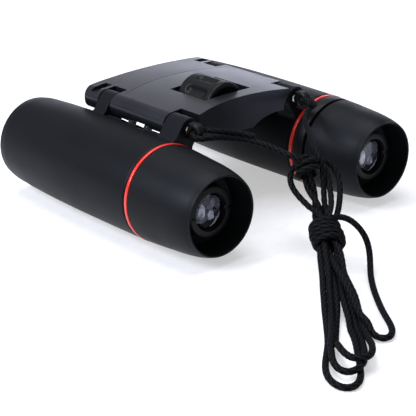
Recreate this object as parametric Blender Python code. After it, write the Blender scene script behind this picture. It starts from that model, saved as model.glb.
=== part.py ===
"""Compact folding binoculars: two barrels hinged to a bridge with a focus wheel and a neck cord.

The frame is X across (left barrel at -X), +Y towards the objective lenses and +Z up. The origin is
under the middle of the object, on the surface that the barrels lie on.
"""

import math

import bmesh
import bpy
from mathutils import Vector

MM = 0.001
CLEARANCE = 0.3 * MM

# Driving sizes
BARREL_SPACING = 65.5 * MM
BARREL_RADIUS = 15.3 * MM
HINGE_X = 21.8 * MM
HINGE_Z = 31.8 * MM
KNUCKLE_RADIUS = 3.7 * MM
PIN_RADIUS = 1.5 * MM
DIOPTRE_OUT = 1.0 * MM
WHEEL_RADIUS = 7.24 * MM
WHEEL_Z = 32.4 * MM
FLUTES = 8
CORD_DIAMETER = 1.7 * MM
SHELL_STEPS = 32
INNER_STEPS = 20

# Places along the barrels
EYECUP_START = -21.9 * MM
COLLAR_END = -25.9 * MM
NEAR_EAR = (-20.0 * MM, -12.1 * MM)
FAR_EAR = (14.8 * MM, 20.6 * MM)
MIDDLE_KNUCKLE = (-11.8 * MM, 14.5 * MM)
FAR_KNOB_START = 20.9 * MM
ARM_EYES = ((-3.4 * MM, -1.4 * MM), (4.4 * MM, 6.2 * MM))
FOCUS_TRAVEL = 1.0 * MM
CELL_RANGE = (25.0 * MM, 42.4 * MM)
SLEEVE_END = 33.0 * MM
WHEEL_RANGE = (-11.1 * MM, 3.9 * MM)
SLOT_RANGE = (-12.3 * MM, 4.5 * MM)
LID_RANGE = (-15.5 * MM, 27.0 * MM)

SCREW_PLACES = ((-12.4, -9.6), (12.4, -9.6), (-11.0, 23.0), (11.0, 23.0))

# The neck cord's routes and the tied hank, in millimetres
HANK_TOP = (-0.8, -54.0)
HANK_HEADING = math.radians(227.87)
HANK_HALF_WIDTH = 6.5
HANK_HALF_DEPTH = 2.7
HANK_RISE = (
    (0.0, 20.5), (5.5, 15.6), (12.0, 12.3), (21.0, 9.4), (32.0, 6.4), (44.0, 3.4), (52.0, 2.9), (82.5, 2.9),
)
LEAD_ROUTES = {
    "left": (
        (-21.8, -26.2, 31.7), (-21.0, -28.0, 31.4), (-16.4, -29.6, 30.5), (-11.6, -32.6, 29.5),
        (-9.2, -38.0, 28.9), (-8.8, -44.0, 28.4), (-8.4, -48.6, 27.6), (-5.8, -51.2, 26.4),
        (-3.7, -51.7, 25.0), (-3.5, -51.7, 23.6),
    ),
    "right": (
        (21.8, -26.2, 31.7), (18.9, -28.2, 31.0), (12.8, -32.9, 29.9), (6.4, -41.4, 28.9),
        (1.0, -48.8, 28.1), (-0.6, -52.0, 26.8), (-0.8, -53.7, 25.0), (-0.8, -54.0, 23.6),
    ),
}
LOOP_ROUTE = (
    (-4.1, -69.4, 12.5), (-3.9, -70.6, 11.6), (-3.0, -72.2, 9.8), (-2.9, -73.8, 7.2), (-3.9, -75.5, 4.8),
    (-6.0, -77.6, 2.8), (-9.3, -80.8, 1.6), (-13.7, -85.8, 1.0), (-18.4, -91.7, 1.0), (-22.5, -97.3, 1.0),
    (-25.3, -101.7, 1.0), (-27.8, -105.4, 1.0), (-31.3, -108.1, 1.0), (-33.7, -108.1, 1.0),
    (-34.2, -106.0, 1.0), (-34.0, -103.8, 1.1),
)

BARREL_X = BARREL_SPACING / 2
HINGE_SPAN = math.hypot(HINGE_Z - BARREL_RADIUS, BARREL_X - HINGE_X)
SIDES = (("left", -1.0), ("right", 1.0))
BLACK_PLASTIC = ("black_plastic", (0.012, 0.014, 0.017), 0.45, 0.0)
SOFT_BLACK = ("soft_touch_black", (0.010, 0.011, 0.014), 0.55, 0.0)
RUBBER = ("black_rubber", (0.009, 0.010, 0.012), 0.65, 0.0)
BRIDGE_GREY = ("satin_bridge", (0.030, 0.031, 0.038), 0.38, 0.0)
RED = ("red_ring", (0.60, 0.016, 0.010), 0.35, 0.0)
STEEL = ("steel", (0.45, 0.45, 0.46), 0.30, 1.0)
BRASS = ("brass", (0.60, 0.44, 0.18), 0.30, 1.0)
GLASS = ("optical_glass", (0.75, 0.80, 0.85), 0.05, 0.0)
CORD = ("cord_black", (0.006, 0.006, 0.007), 0.80, 0.0)


def material(kind):
    """The Principled material of this kind, made once."""
    name, colour, roughness, metallic = kind
    made = bpy.data.materials.get(name) or bpy.data.materials.new(name)
    made.use_nodes = True
    shader = made.node_tree.nodes["Principled BSDF"]
    shader.inputs["Base Color"].default_value = (*colour, 1.0)
    shader.inputs["Roughness"].default_value = roughness
    shader.inputs["Metallic"].default_value = metallic
    return made


def add_object(name, bm, kind, origin=(0, 0, 0), parent=None):
    """Makes an object of this mesh, whose points are given relative to origin."""
    bmesh.ops.remove_doubles(bm, verts=bm.verts[:], dist=1e-7)
    bmesh.ops.recalc_face_normals(bm, faces=bm.faces[:])
    mesh = bpy.data.meshes.new(name)
    bm.to_mesh(mesh)
    bm.free()
    mesh.shade_smooth()
    mesh.set_sharp_from_angle(angle=math.radians(35))
    obj = bpy.data.objects.new(name, mesh)
    bpy.context.scene.collection.objects.link(obj)
    obj.location = origin
    if parent:
        obj.parent = parent
        obj.location = Vector(origin) - parent.location
    if kind:
        mesh.materials.append(material(kind))
    else:
        obj.hide_render = True
        obj.display_type = "WIRE"
    return obj


def turned(name, profile, kind, origin, parent=None, steps=INNER_STEPS):
    """A solid turned about the Y line through origin, from a closed outline of (y, radius) in millimetres."""
    bm = bmesh.new()
    points = [bm.verts.new((0, y * MM, radius * MM)) for y, radius in profile]
    edges = [bm.edges.new((a, b)) for a, b in zip(points, points[1:] + points[:1])]
    bmesh.ops.spin(
        bm, geom=points + edges, cent=(0, 0, 0), axis=(0, 1, 0), dvec=(0, 0, 0),
        angle=math.tau, steps=steps, use_merge=True, use_duplicate=False,
    )
    return add_object(name, bm, kind, origin, parent)


def prism(name, outline, along, low, high, kind=None, origin=(0, 0, 0), parent=None):
    """A solid with this outline, extruded from low to high along X, Y or Z."""
    place = {
        "X": lambda a, b: (low, a, b),
        "Y": lambda a, b: (a, low, b),
        "Z": lambda a, b: (a, b, low),
    }[along]
    bm = bmesh.new()
    face = bm.faces.new([bm.verts.new(Vector(place(a, b)) - Vector(origin)) for a, b in outline])
    grown = bmesh.ops.extrude_face_region(bm, geom=[face])["geom"]
    moved = [item for item in grown if isinstance(item, bmesh.types.BMVert)]
    shift = Vector([(high - low) * (axis == along) for axis in "XYZ"])
    bmesh.ops.translate(bm, verts=moved, vec=shift)
    return add_object(name, bm, kind, origin, parent)


def box_outline(a0, b0, a1, b1):
    return [(a0, b0), (a1, b0), (a1, b1), (a0, b1)]


def arc(centre, radius, start, end, steps):
    """Points of an arc, with its angles in degrees."""
    angles = [math.radians(start + (end - start) * i / steps) for i in range(steps + 1)]
    return [(centre[0] + radius * math.cos(a), centre[1] + radius * math.sin(a)) for a in angles]


def circle(centre, radius, steps=INNER_STEPS):
    return arc(centre, radius, 0, 360, steps)[:-1]


def combine(target, operation, *others):
    for other in others:
        modifier = target.modifiers.new(f"{operation.lower()}_{other.name}", "BOOLEAN")
        modifier.operation = operation
        modifier.solver = "EXACT"
        modifier.object = other


def pivot(name, place):
    """An empty on a joint's axis, which the moving pieces hang from."""
    made = bpy.data.objects.new(name, None)
    bpy.context.scene.collection.objects.link(made)
    made.location = place
    return made


def tilted(side, points):
    """Points (along, across) of a barrel's own section, along from its axis to the hinge, as (x, z)."""
    cos = (BARREL_X - HINGE_X) / HINGE_SPAN
    sin = (HINGE_Z - BARREL_RADIUS) / HINGE_SPAN
    return [
        (side * (BARREL_X - a * cos + b * sin), BARREL_RADIUS + a * sin + b * cos) for a, b in points
    ]


def barrel_outline():
    """The barrel's wall: a rim at the objective end, a slow swell, and a plain bore."""
    outside = [
        (47.0, 12.9), (46.7, 13.5), (45.8, 14.0), (44.0, 14.35), (40.0, 14.62), (32.0, 14.98),
        (22.0, 15.24), (12.0, 15.3), (0.0, 15.24), (-10.0, 15.12), (-20.2, 14.95),
    ]
    inside = [(-20.2, 12.9), (44.8, 12.9), (44.8, 11.6), (47.0, 11.6)]
    return outside + inside


def eyecup_outline(start, shift):
    """The eyecup: a tapering skirt from start, a rounded lip, and a deep cup with a floor."""
    skirt = [(-21.9, 14.9), (-25.9, 14.68), (-29.5, 14.42), (-33.6, 14.08)]
    outside = [(start, 14.9 if start > -25 else 14.62)]
    outside += [(y - shift, radius) for y, radius in skirt if y - shift < start - 1.0]
    crown = [
        (-38.0, 13.72), (-41.0, 13.32), (-43.4, 12.86), (-45.0, 12.4), (-45.8, 12.05), (-46.0, 11.78),
    ]
    cup = [(-45.75, 11.5), (-44.4, 11.4), (-40.0, 11.15), (-37.3, 10.9), (-37.0, 10.6), (-37.0, 8.1)]
    back = [(-33.8, 8.1), (-33.8, 12.9)]
    return outside + [(y - shift, radius) for y, radius in crown + cup + back] + [(start, 12.9)]


def make_ears(name, side, barrel):
    """Two knuckles that stand on the barrel, each bored for the hinge pin."""
    knuckle = arc((HINGE_SPAN, 0), KNUCKLE_RADIUS - 0.05 * MM, -95, 95, 12)
    outline = tilted(side, [(13.9 * MM, 4.4 * MM), (13.9 * MM, -4.4 * MM)] + knuckle)
    bore = circle((side * HINGE_X, HINGE_Z), PIN_RADIUS + CLEARANCE)
    hole = prism(f"{name}_pin_hole", bore, "Y", -25 * MM, 25 * MM)
    for end, (low, high) in (("near", NEAR_EAR), ("far", FAR_EAR)):
        combine(barrel, "UNION", prism(f"{name}_{end}_ear", outline, "Y", low, high))
    combine(barrel, "DIFFERENCE", hole)
    slot = tilted(side, box_outline(11.0 * MM, -1.2 * MM, 17.0 * MM, 1.2 * MM))
    for number, (low, high) in enumerate(ARM_EYES, 1):
        spare = FOCUS_TRAVEL + CLEARANCE
        cutter = prism(f"{name}_arm_slot_{number}", slot, "Y", low - spare, high + spare)
        combine(barrel, "DIFFERENCE", cutter)


def make_prisms(name, place, parent):
    """A tube-shaped cage with two roof-prism blocks in it."""
    cage = [
        (-9.6, 9.3), (22.0, 9.3), (22.0, 10.4), (-7.6, 10.4), (-7.6, 12.6), (-9.6, 12.6),
    ]
    turned(f"{name}_prism_cage", cage, BLACK_PLASTIC, place, parent)
    x, _, z = place
    half = 6.0 * MM
    rear = [(-6.0, -6.0), (6.0, -6.0), (6.0, 3.0), (3.0, 6.0), (-3.0, 6.0), (-6.0, 3.0)]
    front = [(8.0, -6.0), (19.0, -6.0), (19.0, 1.5), (14.5, 6.0), (8.0, 6.0)]
    for part, outline in (("rear_prism", rear), ("front_prism", front)):
        points = [(y * MM, z + height * MM) for y, height in outline]
        prism(f"{name}_{part}", points, "X", x - half, x + half, GLASS, place, parent)


def lens_outline(rear, front, radius, bulge, steps=3):
    """Half of a lens that bulges on both faces, as (y, radius) in millimetres."""
    heights = [radius * i / steps for i in range(steps + 1)]
    back = [(rear - bulge * (1 - (h / radius) ** 2), h) for h in heights]
    face = [(front + bulge * (1 - (h / radius) ** 2), h) for h in reversed(heights)]
    return back + face


def make_ocular(name, place, parent, shift):
    """The sliding eyepiece: its tube, two lenses and the ring that holds the eye lens."""
    cell = [
        (-40.0, 6.3), (-40.0, 7.73), (-24.5, 7.73), (-24.5, 5.4), (-25.7, 5.4), (-25.7, 6.3),
    ]
    ring = [(-41.5, 5.4), (-41.5, 7.3), (-41.1, 7.73), (-40.3, 7.73), (-40.3, 5.4)]
    pieces = (
        ("ocular_cell", cell, BLACK_PLASTIC),
        ("ocular_ring", ring, BLACK_PLASTIC),
        ("eye_lens", lens_outline(-38.8, -37.0, 5.95, 0.9), GLASS),
        ("field_lens", lens_outline(-28.6, -27.0, 5.95, 0.8), GLASS),
    )
    for part, outline, kind in pieces:
        moved = [(y - shift, radius) for y, radius in outline]
        turned(f"{name}_{part}", moved, kind, place, parent)


def make_objective(name, side, place, parent):
    """The focusing cell behind the objective rim, its lens, and the arm that reaches back to the hinge."""
    start, end = (value / MM for value in CELL_RANGE)
    sleeve = SLEEVE_END / MM
    cell = [
        (start, 9.6), (36.0, 9.6), (36.0, 10.8), (end - 1.0, 10.8), (end, 11.4),
        (end, 12.5), (sleeve, 12.5), (sleeve, 10.8), (start, 10.8),
    ]
    turned(f"{name}_objective_cell", cell, BLACK_PLASTIC, place, parent)
    turned(f"{name}_objective_lens", lens_outline(37.4, 39.4, 10.45, 1.0, 4), GLASS, place, parent)
    ring = [(40.0, 10.5), (40.0, 9.9), (41.2, 9.9), (41.2, 10.5)]
    turned(f"{name}_objective_ring", ring, BLACK_PLASTIC, place, parent)
    rail = tilted(side, box_outline(11.2 * MM, -1.8 * MM, 12.3 * MM, 1.8 * MM))
    arm = prism(
        f"{name}_focus_arm", rail, "Y", ARM_EYES[0][0], SLEEVE_END - CLEARANCE, STEEL, parent.location, parent
    )
    post = tilted(side, box_outline(11.3 * MM, -0.9 * MM, HINGE_SPAN, 0.9 * MM))
    centre = (side * HINGE_X, HINGE_Z)
    for number, (low, high) in enumerate(ARM_EYES, 1):
        combine(arm, "UNION", prism(f"{name}_post_{number}", post, "Y", low, high))
        combine(arm, "UNION", prism(f"{name}_eye_{number}", circle(centre, 2.5 * MM, 20), "Y", low, high))
    hole = prism(f"{name}_eye_hole", circle(centre, PIN_RADIUS + CLEARANCE, 20), "Y", -20 * MM, 20 * MM)
    combine(arm, "DIFFERENCE", hole)


def make_barrel(name, side):
    """One barrel with everything that folds with it."""
    hinge = pivot(f"{name}_fold_axis", (side * HINGE_X, 0, HINGE_Z))
    place = (side * BARREL_X, 0, BARREL_RADIUS)
    barrel = turned(f"{name}_barrel", barrel_outline(), SOFT_BLACK, place, hinge, SHELL_STEPS)
    make_ears(name, side, barrel)
    ring = [(-20.5, 12.95), (-20.5, 15.0), (-21.6, 15.0), (-21.6, 12.95)]
    turned(f"{name}_red_ring", ring, RED, place, hinge, SHELL_STEPS)
    housing = [
        (-10.0, 11.2), (-10.0, 12.6), (-33.5, 12.6), (-33.5, 8.1), (-23.8, 8.1), (-23.8, 11.2),
    ]
    turned(f"{name}_eyepiece_housing", housing, BLACK_PLASTIC, place, hinge, SHELL_STEPS)
    make_prisms(name, place, hinge)
    make_objective(name, side, place, hinge)
    shift = DIOPTRE_OUT / MM if name == "right" else 0.0
    start = COLLAR_END - DIOPTRE_OUT if name == "right" else EYECUP_START
    if name == "right":
        collar = [(-21.9, 12.95), (-21.9, 14.9), (-25.9, 14.68), (-25.9, 12.95)]
        turned("right_collar", collar, BLACK_PLASTIC, place, hinge, SHELL_STEPS)
    turned(f"{name}_eyecup", eyecup_outline(start / MM, shift), RUBBER, place, hinge, SHELL_STEPS)
    make_ocular(name, place, hinge, shift)


def bridge_section():
    """The bridge across: a crowned top that rolls over both hinges, and a belly with two nesting hollows."""
    crown = [(x * MM, (35.5 + 1.0 * (1 - (x / 21.8) ** 2)) * MM) for x in range(-20, 21, 4)]
    knuckle = arc((HINGE_X, HINGE_Z), KNUCKLE_RADIUS, 90, -90, 12)
    far_side = [(-x, z) for x, z in reversed(knuckle)]
    belly = arc((15.6 * MM, 13.0 * MM), 16.0 * MM, 75, 128.6, 8)
    mirrored = [(-x, z) for x, z in reversed(belly)]
    return crown + knuckle + belly + mirrored + far_side


def bridge_plan():
    """The bridge from above: a hollow near edge, straight sides and an almost straight far edge."""
    near = [(x * MM, (-17.3 - 3.0 * (x / 18.5) ** 2) * MM) for x in (-18.5, -12, -6, 0, 6, 12, 18.5)]
    right = [(27.0, -20.3), (27.0, 27.0), (25.2, 28.0), (23.7, 28.3), (20.6, 28.6)]
    left = [(-x, y) for x, y in reversed(right)]
    far = [(x * MM, (28.4 + 0.2 * (x / 20.6) ** 2) * MM) for x in (14, 7, 0, -7, -14)]
    return near + [(x * MM, y * MM) for x, y in right] + far + [(x * MM, y * MM) for x, y in left]


def mirrored_prisms(name, outline, along, low, high):
    """Two cutters, one for each side, from the outline of the right-hand one in millimetres."""
    pair = []
    for side_name, side in SIDES:
        points = [(side * x * MM, other * MM) for x, other in outline]
        pair.append(prism(f"{name}_{side_name}", points, along, low, high))
    return pair


def make_bridge():
    """The bridge frame: a single moulding with its knuckles, wheel slot and works cavity."""
    frame = prism("bridge_frame", bridge_section(), "Y", -21.0 * MM, 33.5 * MM, BRIDGE_GREY)
    combine(frame, "INTERSECT", prism("bridge_plan_guide", bridge_plan(), "Z", 20 * MM, 42 * MM))
    notch = [(18.3, 38), (18.3, 34.2), (17.6, 32.6), (16.6, 31), (16.6, 24), (28, 24), (28, 38)]
    near_notch = (-30 * MM, MIDDLE_KNUCKLE[0])
    far_notch = (MIDDLE_KNUCKLE[1], FAR_KNOB_START)
    combine(frame, "DIFFERENCE", *mirrored_prisms("near_notch", notch, "Y", *near_notch))
    combine(frame, "DIFFERENCE", *mirrored_prisms("far_notch", notch, "Y", *far_notch))
    slit = box_outline(18.3, 22.4, 24.4, 25.6)
    combine(frame, "DIFFERENCE", *mirrored_prisms("far_slit", slit, "Z", 34.4 * MM, 40 * MM))
    hinge_mm = (HINGE_X / MM, HINGE_Z / MM)
    window = arc(hinge_mm, 2.85, -28, 135, 12)
    window += [(13.0, hinge_mm[1] + 2.0), (13.0, 24.0), (28.5, 24.0), (28.5, 28.2)]
    spare = FOCUS_TRAVEL + 1.2 * CLEARANCE
    span = (ARM_EYES[0][0] - spare, ARM_EYES[1][1] + spare)
    combine(frame, "DIFFERENCE", *mirrored_prisms("arm_window", window, "Y", *span))
    bore = circle(hinge_mm, (PIN_RADIUS + CLEARANCE) / MM)
    combine(frame, "DIFFERENCE", *mirrored_prisms("pin_bore", bore, "Y", -30 * MM, 27.2 * MM))
    well = box_outline(-9.25 * MM, SLOT_RANGE[0], 9.25 * MM, SLOT_RANGE[1])
    combine(frame, "DIFFERENCE", prism("wheel_well", well, "Z", 20 * MM, 40 * MM))
    cavity = box_outline(-13.6 * MM, -6.5 * MM, 13.6 * MM, 18.5 * MM)
    combine(frame, "DIFFERENCE", prism("works_cavity", cavity, "Z", 20 * MM, 33.8 * MM))
    groove = box_outline(-3.6 * MM, 4.0 * MM, 3.6 * MM, 18.5 * MM)
    combine(frame, "DIFFERENCE", prism("nut_groove", groove, "Z", 20 * MM, 34.7 * MM))
    rod = prism("screw_bore", circle((0, WHEEL_Z), 1.3 * MM), "Y", -15 * MM, 21 * MM)
    combine(frame, "DIFFERENCE", rod)
    combine(frame, "DIFFERENCE", lid_prism("lid_recess", 15.5, 1.6, 0.3, None))
    for number, (x, y) in enumerate(SCREW_PLACES, 1):
        hole = circle((x * MM, y * MM), 1.1 * MM, 16)
        combine(frame, "DIFFERENCE", prism(f"frame_screw_hole_{number}", hole, "Z", 25 * MM, 33.3 * MM))
    make_lid()


def belly_height(x):
    """The height in millimetres of the bridge's underside at x."""
    return max(25.5, 13.0 + math.sqrt(16.0**2 - (15.6 - abs(x)) ** 2))


def lid_prism(name, half_width, thickness, grow, kind):
    """A strip that follows the bridge's underside; as a cutter it reaches below it."""
    low, high = LID_RANGE
    edge = [half_width * i / 8 for i in range(-8, 9)]
    under = [(x * MM, (belly_height(x) if kind else 20.0) * MM) for x in edge]
    over = [(x * MM, (belly_height(x) + thickness) * MM) for x in reversed(edge)]
    return prism(name, under + over, "Y", low - grow * MM, high + grow * MM, kind)


def make_lid():
    """The lid under the bridge, with its window for the wheel and its countersunk screws."""
    lid = lid_prism("bridge_lid", 15.2, 1.3, 0.0, BLACK_PLASTIC)
    window = box_outline(-7.0 * MM, SLOT_RANGE[0], 7.0 * MM, SLOT_RANGE[1])
    combine(lid, "DIFFERENCE", prism("lid_window", window, "Z", 20 * MM, 32 * MM))
    for number, (x, y) in enumerate(SCREW_PLACES, 1):
        seat = belly_height(x) - 0.15
        centre = (x * MM, y * MM)
        hole = prism(f"lid_screw_hole_{number}", circle(centre, 1.1 * MM, 16), "Z", 22 * MM, 34 * MM)
        sink = prism(f"lid_sink_{number}", circle(centre, 2.2 * MM, 16), "Z", 22 * MM, (seat + 0.9) * MM)
        combine(lid, "DIFFERENCE", hole, sink)
        screw = prism(
            f"lid_screw_{number}", circle(centre, 1.85 * MM, 16), "Z", seat * MM, (seat + 0.6) * MM, STEEL
        )
        shank = prism(f"screw_shank_{number}", circle(centre, 0.8 * MM, 12), "Z", (seat + 0.2) * MM, 32.8 * MM)
        combine(screw, "UNION", shank)


def make_pins():
    """The two hinge pins, each with a strap eye screwed on its near end."""
    for name, side in SIDES:
        centre = (side * HINGE_X, 0, HINGE_Z)
        pin = [(-20.0, 0.0), (-20.0, 1.3), (-19.7, 1.5), (26.6, 1.5), (26.9, 1.3), (26.9, 0.0)]
        turned(f"{name}_hinge_pin", pin, STEEL, centre)
        y, z = -22.9 * MM, HINGE_Z
        root = [(-20.3 * MM, z - 3.0 * MM), (-20.3 * MM, z + 3.0 * MM)]
        outline = arc((y, z), 2.7 * MM, 100, 260, 10) + root
        x = side * HINGE_X
        lug = prism(f"{name}_strap_lug", outline, "X", x - 1.3 * MM, x + 1.3 * MM, BLACK_PLASTIC, centre)
        hole = prism(f"{name}_lug_hole", circle((y, z), 1.3 * MM, 16), "X", x - 3 * MM, x + 3 * MM)
        combine(lug, "DIFFERENCE", hole)


def make_wheel():
    """The focus wheel with its long finger flutes, and the lead screw through it."""
    axis = pivot("focus_axis", (0, 0, WHEEL_Z))
    near, far = (value / MM for value in WHEEL_RANGE)
    radius = WHEEL_RADIUS / MM
    profile = [
        (near + 0.9, 1.3), (near + 0.9, 4.6), (near, 5.2), (near, radius - 0.7), (near + 0.7, radius),
        (far - 0.7, radius), (far, radius - 0.7), (far, 1.3),
    ]
    wheel = turned("focus_wheel", profile, BLACK_PLASTIC, axis.location, axis, SHELL_STEPS)
    middle = (near + far) / 2
    for number in range(FLUTES):
        angle = math.radians(7.5 + 360 / FLUTES * number)
        bm = bmesh.new()
        bmesh.ops.create_uvsphere(bm, u_segments=8, v_segments=6, radius=1.25 * MM)
        for vert in bm.verts:
            vert.co = (vert.co.x, vert.co.z + math.copysign(3.3 * MM, vert.co.z), vert.co.y * 0.8)
        distance = WHEEL_RADIUS + 0.15 * MM
        place = (-distance * math.sin(angle), middle * MM, WHEEL_Z + distance * math.cos(angle))
        cutter = add_object(f"flute_{number + 1}", bm, None, place)
        cutter.rotation_euler.y = -angle
        combine(wheel, "DIFFERENCE", cutter)
    rod = [(-14.6, 0.0), (-14.6, 1.0), (20.4, 1.0), (20.4, 0.0)]
    turned("focus_screw", rod, BRASS, axis.location, axis, 16)


def make_yoke():
    """The yoke that the lead screw draws along both pins, between the eyes of each focus arm."""
    low, high = ARM_EYES[0][1] + CLEARANCE, ARM_EYES[1][0] - CLEARANCE
    half = [(9.3, 5.6), (9.3, low / MM), (20.6, low / MM), (20.6, high / MM), (13.0, high / MM), (13.0, 9.4)]
    half = [(x * MM, y * MM) for x, y in half]
    outline = half + [(-x, y) for x, y in reversed(half)]
    yoke = prism("focus_yoke", outline, "Z", 30.9 * MM, 32.7 * MM, BLACK_PLASTIC)
    nut = box_outline(-2.8 * MM, 30.2 * MM, 2.8 * MM, 34.3 * MM)
    combine(yoke, "UNION", prism("yoke_nut", nut, "Y", 5.6 * MM, 11.6 * MM))
    for name, side in SIDES:
        ring = circle((side * HINGE_X, HINGE_Z), 2.5 * MM, 20)
        combine(yoke, "UNION", prism(f"yoke_ring_{name}", ring, "Y", low, high))
    for name, side in SIDES:
        hole = circle((side * HINGE_X, HINGE_Z), PIN_RADIUS + CLEARANCE, 20)
        combine(yoke, "DIFFERENCE", prism(f"yoke_hole_{name}", hole, "Y", -9 * MM, 12 * MM))
    thread = circle((0, WHEEL_Z), 1.3 * MM, 16)
    combine(yoke, "DIFFERENCE", prism("yoke_thread", thread, "Y", 3 * MM, 14 * MM))


def smooth_route(points, spacing):
    """Points at this spacing along a smooth curve through the given ones."""
    knots = [Vector(point) for point in points]
    knots = [2 * knots[0] - knots[1]] + knots + [2 * knots[-1] - knots[-2]]
    dense = []
    for before, start, end, after in zip(knots, knots[1:], knots[2:], knots[3:]):
        for step in range(12):
            t = step / 12
            dense.append(
                0.5 * (
                    2 * start + (end - before) * t + (2 * before - 5 * start + 4 * end - after) * t**2
                    + (3 * start - before - 3 * end + after) * t**3
                )
            )
    dense.append(knots[-2])
    total = sum((b - a).length for a, b in zip(dense, dense[1:]))
    count = max(2, round(total / spacing))
    route, travelled, target = [dense[0]], 0.0, total / count
    for a, b in zip(dense, dense[1:]):
        step = (b - a).length
        while step > 0 and travelled + step >= target and len(route) < count:
            route.append(a.lerp(b, (target - travelled) / step))
            target += total / count
        travelled += step
    return route + [dense[-1]]


def cord_tube(name, points):
    """A plain tube of the cord's diameter along a smooth curve through these points, in millimetres."""
    route = smooth_route(points, 2.5 * CORD_DIAMETER / MM)
    curve = bpy.data.curves.new(name, "CURVE")
    curve.dimensions = "3D"
    curve.bevel_depth = CORD_DIAMETER / 2
    curve.bevel_resolution = 2
    curve.use_fill_caps = True
    spline = curve.splines.new("POLY")
    spline.points.add(len(route) - 1)
    for point, place in zip(spline.points, route):
        point.co = (*(place * MM), 1.0)
    curve.materials.append(material(CORD))
    bpy.context.scene.collection.objects.link(bpy.data.objects.new(name, curve))


def make_hank():
    """The outer shape of the tied hank: a bent band with round ends that comes down onto the surface."""
    heading = Vector((math.cos(HANK_HEADING), math.sin(HANK_HEADING), 0))
    across = Vector((-heading.y, heading.x, 0))
    line = [Vector(point) for point in HANK_RISE]
    upper, lower = [], []
    for index, point in enumerate(line):
        run = line[min(index + 1, len(line) - 1)] - line[max(index - 1, 0)]
        normal = Vector((-run.y, run.x)).normalized() * HANK_HALF_DEPTH
        upper.append(point + normal)
        lower.append(point - normal)
    ends = []
    for point, edge in ((line[-1], upper[-1]), (line[0], lower[0])):
        first = math.degrees(math.atan2(*(edge - point).yx))
        ends.append([Vector(p) for p in arc(point, HANK_HALF_DEPTH, first, first - 180, 6)[1:-1]])
    outline = upper + ends[0] + lower[::-1] + ends[1]
    top = Vector((*HANK_TOP, 0))
    bm = bmesh.new()
    start = top - across * HANK_HALF_WIDTH
    face = bm.faces.new([bm.verts.new((start + heading * s + Vector((0, 0, z))) * MM) for s, z in outline])
    grown = bmesh.ops.extrude_face_region(bm, geom=[face])["geom"]
    moved = [item for item in grown if isinstance(item, bmesh.types.BMVert)]
    bmesh.ops.translate(bm, verts=moved, vec=across * 2 * HANK_HALF_WIDTH * MM)
    add_object("strap_hank", bm, CORD)


def make_strap():
    """The neck cord: a lead from each strap eye, the tied hank and the one loop that lies beside it."""
    for name, route in LEAD_ROUTES.items():
        cord_tube(f"strap_lead_{name}", route)
    cord_tube("strap_loop", LOOP_ROUTE)
    make_hank()


def main():
    for obj in list(bpy.data.objects):
        bpy.data.objects.remove(obj)
    make_bridge()
    make_pins()
    make_wheel()
    make_yoke()
    for name, side in SIDES:
        make_barrel(name, side)
    make_strap()


main()
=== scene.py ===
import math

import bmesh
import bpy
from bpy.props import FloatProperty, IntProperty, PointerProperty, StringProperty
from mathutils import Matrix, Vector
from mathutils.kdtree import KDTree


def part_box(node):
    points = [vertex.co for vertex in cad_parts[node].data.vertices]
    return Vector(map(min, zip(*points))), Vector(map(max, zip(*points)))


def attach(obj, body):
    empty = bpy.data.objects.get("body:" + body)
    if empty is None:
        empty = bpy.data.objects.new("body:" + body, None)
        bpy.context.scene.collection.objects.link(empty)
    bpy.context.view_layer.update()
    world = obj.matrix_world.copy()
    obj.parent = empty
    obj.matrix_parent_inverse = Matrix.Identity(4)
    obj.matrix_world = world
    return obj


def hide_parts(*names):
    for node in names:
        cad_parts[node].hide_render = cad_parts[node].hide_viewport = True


bl_info = {
    "name": "Compact folding binoculars",
    "version": (1, 0, 0),
    "blender": (4, 5, 0),
    "location": "3D View > Sidebar > Binoculars",
    "description": "Dresses the binoculars' working model: shells, bridge, optics, finishes and neck cord",
    "category": "Object",
}

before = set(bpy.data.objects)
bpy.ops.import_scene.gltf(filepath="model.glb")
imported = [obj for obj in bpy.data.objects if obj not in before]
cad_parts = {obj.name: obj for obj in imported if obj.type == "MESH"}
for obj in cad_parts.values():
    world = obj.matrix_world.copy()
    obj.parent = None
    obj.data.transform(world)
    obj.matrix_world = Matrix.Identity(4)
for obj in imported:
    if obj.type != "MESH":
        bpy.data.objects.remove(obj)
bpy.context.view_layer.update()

MM = 0.001
SIDES = (("left", -1.0), ("right", 1.0))
TURN_STEPS = 128
CURVE_STEPS = 16


def node_middle(name):
    """The middle of a frame node's box."""
    low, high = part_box(name)
    return (Vector(low) + Vector(high)) / 2


# Places that come from the frame, in millimetres
BARREL_X = node_middle("right_eyecup").x / MM
BARREL_Z = node_middle("right_eyecup").z / MM
HINGE_X = node_middle("right_hinge_pin").x / MM
HINGE_Z = node_middle("right_hinge_pin").z / MM
WHEEL_Z = node_middle("focus_wheel").z / MM
HINGE_SPAN = math.hypot(HINGE_Z - BARREL_Z, BARREL_X - HINGE_X)

# Stage: the floor's glow and half width, and the camera's place in metres, angles in radians and lens
FLOOR_GLOW = 0.47
FLOOR_HALF = 3.0
CAMERA_PLACE = Vector((-0.2498, -0.2964, 0.1551))
CAMERA_YAW = 0.7026
CAMERA_PITCH = 0.3921
CAMERA_ROLL = -0.02616
CAMERA_LENS = 111.48

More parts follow.
